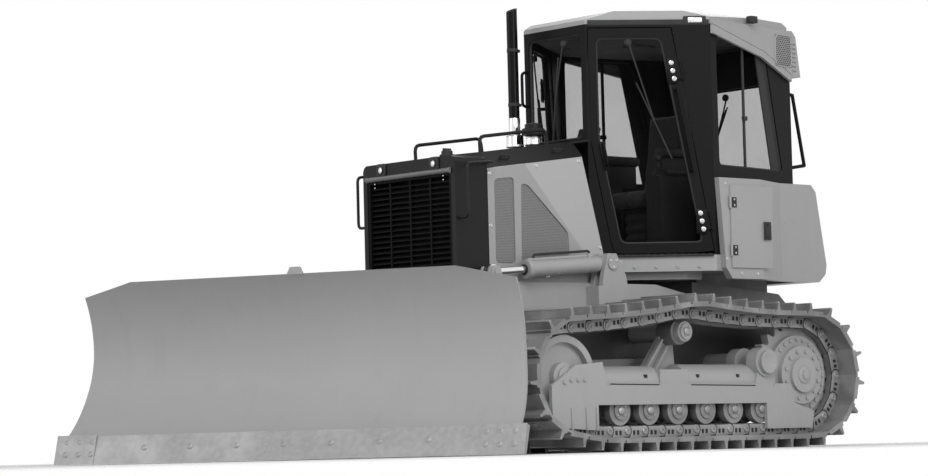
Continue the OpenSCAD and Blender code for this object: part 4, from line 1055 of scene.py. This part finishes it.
def liftTrim():
    lift = {"base": (1.425, 0.56, 1.266), "eye": (2.468, 0.56, 1.19), "straps": (0.2, 0.46), "gland": 0.336,
        "wiper": 0.3}
    base, eye = spot(*lift["base"]), spot(*lift["eye"])
    reach = (eye - base).length
    turn = Matrix.Translation(base) @ (eye - base).normalized().to_track_quat("X", "Z").to_matrix().to_4x4()

    def onAxis(x):  # place of a ring on the cylinder's axis
        return turn @ shift(x, 0, 0) @ Matrix.Rotation(math.radians(90), 4, "Y")

    for side, word in ((1, "left"), (-1, "right")):
        barrel = "lift_barrel_" + word[0]
        gland = ringShape([(0.0618, 0), (0.065, 0.004), (0.065, 0.02), (0.0618, 0.024)])
        collars = [setAt(gland, onAxis(reach - lift["gland"]))]
        for x in lift["straps"]:
            strap = ringShape([(0.0538, 0), (0.057, 0.002), (0.057, 0.018), (0.0538, 0.02)])
            collars.append(setAt(strap, onAxis(x)))
        port = setAt(block((0.05, 0.036, 0.03), 0.005), turn @ shift(0.15, 0, 0.062))
        pieces = atSide(joinAll(collars + [port]), side)
        bends = ((0.15, 0, 0.07), (0.15, 0, 0.092), (0.66, 0, 0.092), (0.66, 0, 0.05))
        run = [turn @ Vector(p) for p in bends]
        pipe = atSide(tubeAlong(roundedPath(run, 0.02), 0.009, smooth=False), side)
        handOver(pipe, "lift_pipe_" + word, barrel, "trim", extra["rubber"])
        handOver(pieces, "lift_collars_" + word, barrel, "cylinder_grey")
        bolts = ringOf(lift["base"][0], side * 0.6342, lift["base"][2], 0.03, 3, (0, side, 0), 0.5)
        handOver(copyTo(hexBolt(0.008), bolts), "lift_pivot_bolts_" + word, "tractor", "rod_chrome",
            extra["zinc"])
        wiperRing = ringShape([(0.0265, 0), (0.034, 0.002), (0.034, 0.012), (0.0265, 0.014)])
        ring = atSide(setAt(wiperRing, onAxis(reach - lift["wiper"])), side)
        handOver(ring, "lift_wiper_" + word, barrel, "trim", extra["rubber"])


def tankTrim():
    face = {"y": 0.84, "door": 0.852, "hinge": 0.47, "hinges": (1.36, 1.69), "latch": 0.155}
    strap = [setAt(block((0.05, 0.006, 0.07), 0.002), standAt(face["hinge"], face["door"] + 0.003, z))
        for z in face["hinges"]]
    dish = setAt(block((0.075, 0.006, 0.125), 0.003), standAt(face["latch"], face["door"] + 0.0145, 1.5))
    paddle = setAt(block((0.048, 0.012, 0.07), 0.006), standAt(face["latch"], face["door"] + 0.018, 1.49))
    lock = setAt(turnedShape([(0.011, 0), (0.011, 0.006), (0.008, 0.008)], 16),
        facing(spot(face["latch"], face["door"] + 0.016, 1.545), (0, 1, 0)))
    handOver(joinAll(strap + [dish, paddle, lock]), "tank_latch", "tank_door", "cab_black", extra["rubber"])
    rivets = [facing(spot(face["hinge"], face["door"] + 0.006, z + dz), (0, 1, 0)) for z in face["hinges"]
        for dz in (-0.02, 0.02)]
    handOver(copyTo(hexBolt(0.006), rivets), "tank_rivets", "tank_door", "rod_chrome", extra["zinc"])
    corners = ((0.54, 1.82), (0.545, 1.3), (0.24, 1.2), (0.4, 1.2))
    spots = [facing(spot(x, side * face["y"], z), (0, side, 0)) for side in (1, -1) for x, z in corners]
    spots += [facing(spot(-0.592, y, 1.62), (-0.985, 0, 0.17)) for y in (-0.45, -0.15, 0.15, 0.45)]
    handOver(copyTo(hexBolt(0.009), spots), "tank_bolts", "tractor", "rod_chrome", extra["zinc"])
    neck = turnedShape([(0.06, 0), (0.06, 0.012), (0.048, 0.014), (0.048, 0.04), (0.044, 0.046),
        (0.02, 0.048)], 28)
    ears = [setAt(block((0.024, 0.012, 0.03), 0.003), Matrix.Rotation(a, 4, "Z") @ shift(0.052, 0, 0.026))
        for a in (0, 2.1, 4.2)]
    filler = setAt(joinAll([neck] + ears), standAt(-0.46, -0.2, 1.859))
    handOver(filler, "filler_cap", "tractor", "cab_black", extra["rubber"])


def deckTrim():
    step = {"ribs": 14, "pitch": 0.048}
    bars = []
    for k in range(step["ribs"]):
        bars.append(doorFrame @ shift(0.2 + k * step["pitch"], -0.012, 1.336))
    tread = copyTo(block((0.02, 0.022, 0.006), 0.0015), bars)
    lip = setAt(block((0.69, 0.03, 0.012), 0.004), doorFrame @ shift(0.51, -0.013, 1.328))
    left = joinAll([tread, lip])
    handBoth(left, "sill_tread", fixed, "cab_black", extra["rubber"])
    box = setAt(block((0.11, 0.022, 0.055), 0.006), doorFrame @ shift(0.16, -0.011, 1.275))
    lug = setAt(block((0.05, 0.012, 0.03), 0.004), doorFrame @ shift(0.16, -0.026, 1.275))
    left = joinAll([box, lug])
    handBoth(left, "deck_box", fixed, "body_grey", finishes["cylinder_grey"])
    bolts = [doorFrame @ facing((x, -0.0002, 1.25), (0, -1, 0)) for x in (0.3, 0.45, 0.6, 0.75)]
    left = copyTo(hexBolt(0.01), bolts)
    handBoth(left, "deck_bolts", fixed, "body_grey", finishes["cylinder_grey"])


def bladeTrim():
    gusset = outlinePlate([(-0.06, 0), (0.06, 0), (0.035, 0.05), (-0.035, 0.05)], 0.02, 0.004)
    turn = Matrix(((0, 0, 1, -0.172), (1, 0, 0, 0.045), (0, 1, 0, 1.166), (0, 0, 0, 1)))
    handOver(setAt(gusset, bladeFrame @ turn), "blade_bracket", "blade", "blade_grey")


def puffed(piece, cap):  # cloth blown up a little, no point further than the cap
    modify(piece, "REMESH", {"mode": "VOXEL", "voxel_size": 0.006})
    start = [v.co.copy() for v in piece.data.vertices]
    soft = piece.modifiers.new("soft", "CLOTH")
    soft.settings.use_pressure = True
    soft.settings.uniform_pressure_force = 4.0
    soft.settings.effector_weights.gravity = 0.0
    soft.settings.quality = 5
    soft.point_cache.frame_end = 20
    for step in range(1, 21):
        bpy.context.scene.frame_set(step)
    takeUp(piece)
    bpy.ops.object.modifier_apply(modifier=soft.name)
    bpy.context.scene.frame_set(1)
    for vertex, rest in zip(piece.data.vertices, start):
        move = vertex.co - rest
        if move.length > cap:
            vertex.co = rest + move * (cap / move.length)
    return modify(piece, "SMOOTH", {"factor": 0.5, "iterations": 6})


def driverSeat():
    seat = {"cushion": (0.42, 0.41, 0.08), "back": (0.065, 0.4, 0.58), "cap": 0.018}
    here = Matrix.Translation(sprocket)
    cushion = setAt(puffed(block(seat["cushion"], 0.03), seat["cap"]), here @ shift(0.478, 0, 1.768))
    lean = Matrix.Rotation(-math.atan2(0.095, 0.62), 4, "Y")
    back = setAt(puffed(block(seat["back"], 0.028), seat["cap"]), here @ shift(0.243, 0, 2.112) @ lean)
    for piece, name in ((cushion, "seat_cushion"), (back, "seat_back")):
        handOver(piece, name, "tractor", "trim", extra["cloth"])
    folds = [(0.15 if k % 2 else 0.128, 1.38 + 0.036 * k) for k in range(9)]
    boot = turnedShape([(0.16, 1.332), (0.16, 1.36)] + folds + [(0.16, 1.7), (0.16, 1.716)], 4)
    boot = setAt(boot, here @ shift(0.485, 0, 0) @ Matrix.Rotation(math.radians(45), 4, "Z"))
    handOver(boot, "seat_boot", "tractor", "trim", extra["rubber"])
    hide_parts("seat")


def cabControls():
    screen = {"size": (0.03, 0.2, 0.15), "at": (1.125, 0.1, 2.17)}
    here = Matrix.Translation(sprocket)
    lean = Matrix.Rotation(-0.35, 4, "Y")
    case = setAt(block(screen["size"], 0.008), here @ Matrix.Translation(screen["at"]) @ lean)
    stalk = tubeAlong([spot(1.15, 0.1, 2.08), spot(1.135, 0.1, 2.13)], 0.014, smooth=False)
    parts = [case, stalk]
    for side in (1, -1):
        boot = turnedShape([(0.045, 0), (0.045, 0.012), (0.036, 0.02), (0.038, 0.03), (0.028, 0.04),
            (0.03, 0.05), (0.018, 0.062)], 20)
        parts.append(setAt(boot, standAt(0.7, side * 0.36, 1.9)))
        rest = setAt(block((0.26, 0.1, 0.05), 0.018), standAt(0.54, side * 0.36, 1.926))
        pad = setAt(block((0.4, 0.09, 0.07), 0.026), standAt(0.45, side * 0.31, 2.075))
        strut = setAt(block((0.36, 0.03, 0.17), 0.008), standAt(0.45, side * 0.31, 1.97))
        parts += [rest, pad, strut]
        pedal = setAt(block((0.1, 0.08, 0.016), 0.005),
            standAt(1.04, side * 0.13, 1.46) @ Matrix.Rotation(0.7, 4, "Y"))
        stem = tubeAlong([spot(1.05, side * 0.13, 1.45), spot(1.152, side * 0.13, 1.5)], 0.012,
            smooth=False)
        parts += [pedal, stem]
    handOver(joinAll(parts), "cab_controls", "tractor", "trim")
    glass = setAt(block((0.004, 0.17, 0.12), 0.001),
        here @ Matrix.Translation(screen["at"]) @ lean @ shift(-0.0155, 0, 0))
    handOver(glass, "screen_face", "tractor", "glass", extra["lamp"])


trackTrim()
liftTrim()
tankTrim()
deckTrim()
bladeTrim()
driverSeat()
cabControls()
print("details done")


def lightStudio():
    lamps = {
        "key": {"at": (9.0, 9.5, 9.0), "aim": (1.2, 0.2, 1.0), "size": 7.0, "watts": 1000},
        "fill": {"at": (14.0, -5.0, 5.0), "aim": (2.5, 0, 0.8), "size": 8.0, "watts": 300},
        "side": {"at": (2.0, 12.0, 5.0), "aim": (0.5, 0.5, 1.2), "size": 6.0, "watts": 360},
        "back": {"at": (-9.0, -7.0, 8.0), "aim": (0.5, 0, 1.5), "size": 6.0, "watts": 280},
    }
    for name, lamp in lamps.items():
        data = bpy.data.lights.new(name, "AREA")
        data.size = lamp["size"]
        data.energy = lamp["watts"]
        made = bpy.data.objects.new(name, data)
        bpy.context.scene.collection.objects.link(made)
        at, aim = spot(*lamp["at"]), spot(*lamp["aim"])
        made.matrix_world = Matrix.Translation(at) @ (at - aim).to_track_quat("Z", "Y").to_matrix().to_4x4()


def setWorld():
    sky = {"ambient": 0.3, "seen": 1.0}
    world = bpy.data.worlds.new("studio")
    bpy.context.scene.world = world
    world.use_nodes = True
    tree = world.node_tree
    ray = tree.nodes.new("ShaderNodeLightPath")
    seen = Val(tree, ray.outputs["Is Camera Ray"])
    for kind in ("Is Glossy Ray", "Is Transmission Ray"):
        seen = seen.maths("MAXIMUM", Val(tree, ray.outputs[kind]))
    strength = sky["ambient"] + (sky["seen"] - sky["ambient"]) * seen
    tree.links.new(strength.socket, tree.nodes["Background"].inputs[1])
    tree.nodes["Background"].inputs[0].default_value = (1, 1, 1, 1)


def layFloor():
    clearPick()
    bpy.ops.mesh.primitive_plane_add(size=120, location=(0, 0, -0.0015))
    floor = settle(bpy.context.object)
    floor.name = "floor"
    look = Finish("paleFloor")
    tone = look.noise(0.6, 3)
    look.set({"Base Color": look.blend(tone, 0.84, 0.88), "Roughness": 0.85 + 0.1 * tone})
    away = (look.x * look.x + look.y * look.y).maths("SQRT")
    look.set({"Alpha": look.ease(away, 8.5, 3.4)})  # fades out into the white
    floor.data.materials.append(look.mat)


bpy.context.scene.view_settings.view_transform = "Standard"
lightStudio()
setWorld()
layFloor()
print("studio lit")
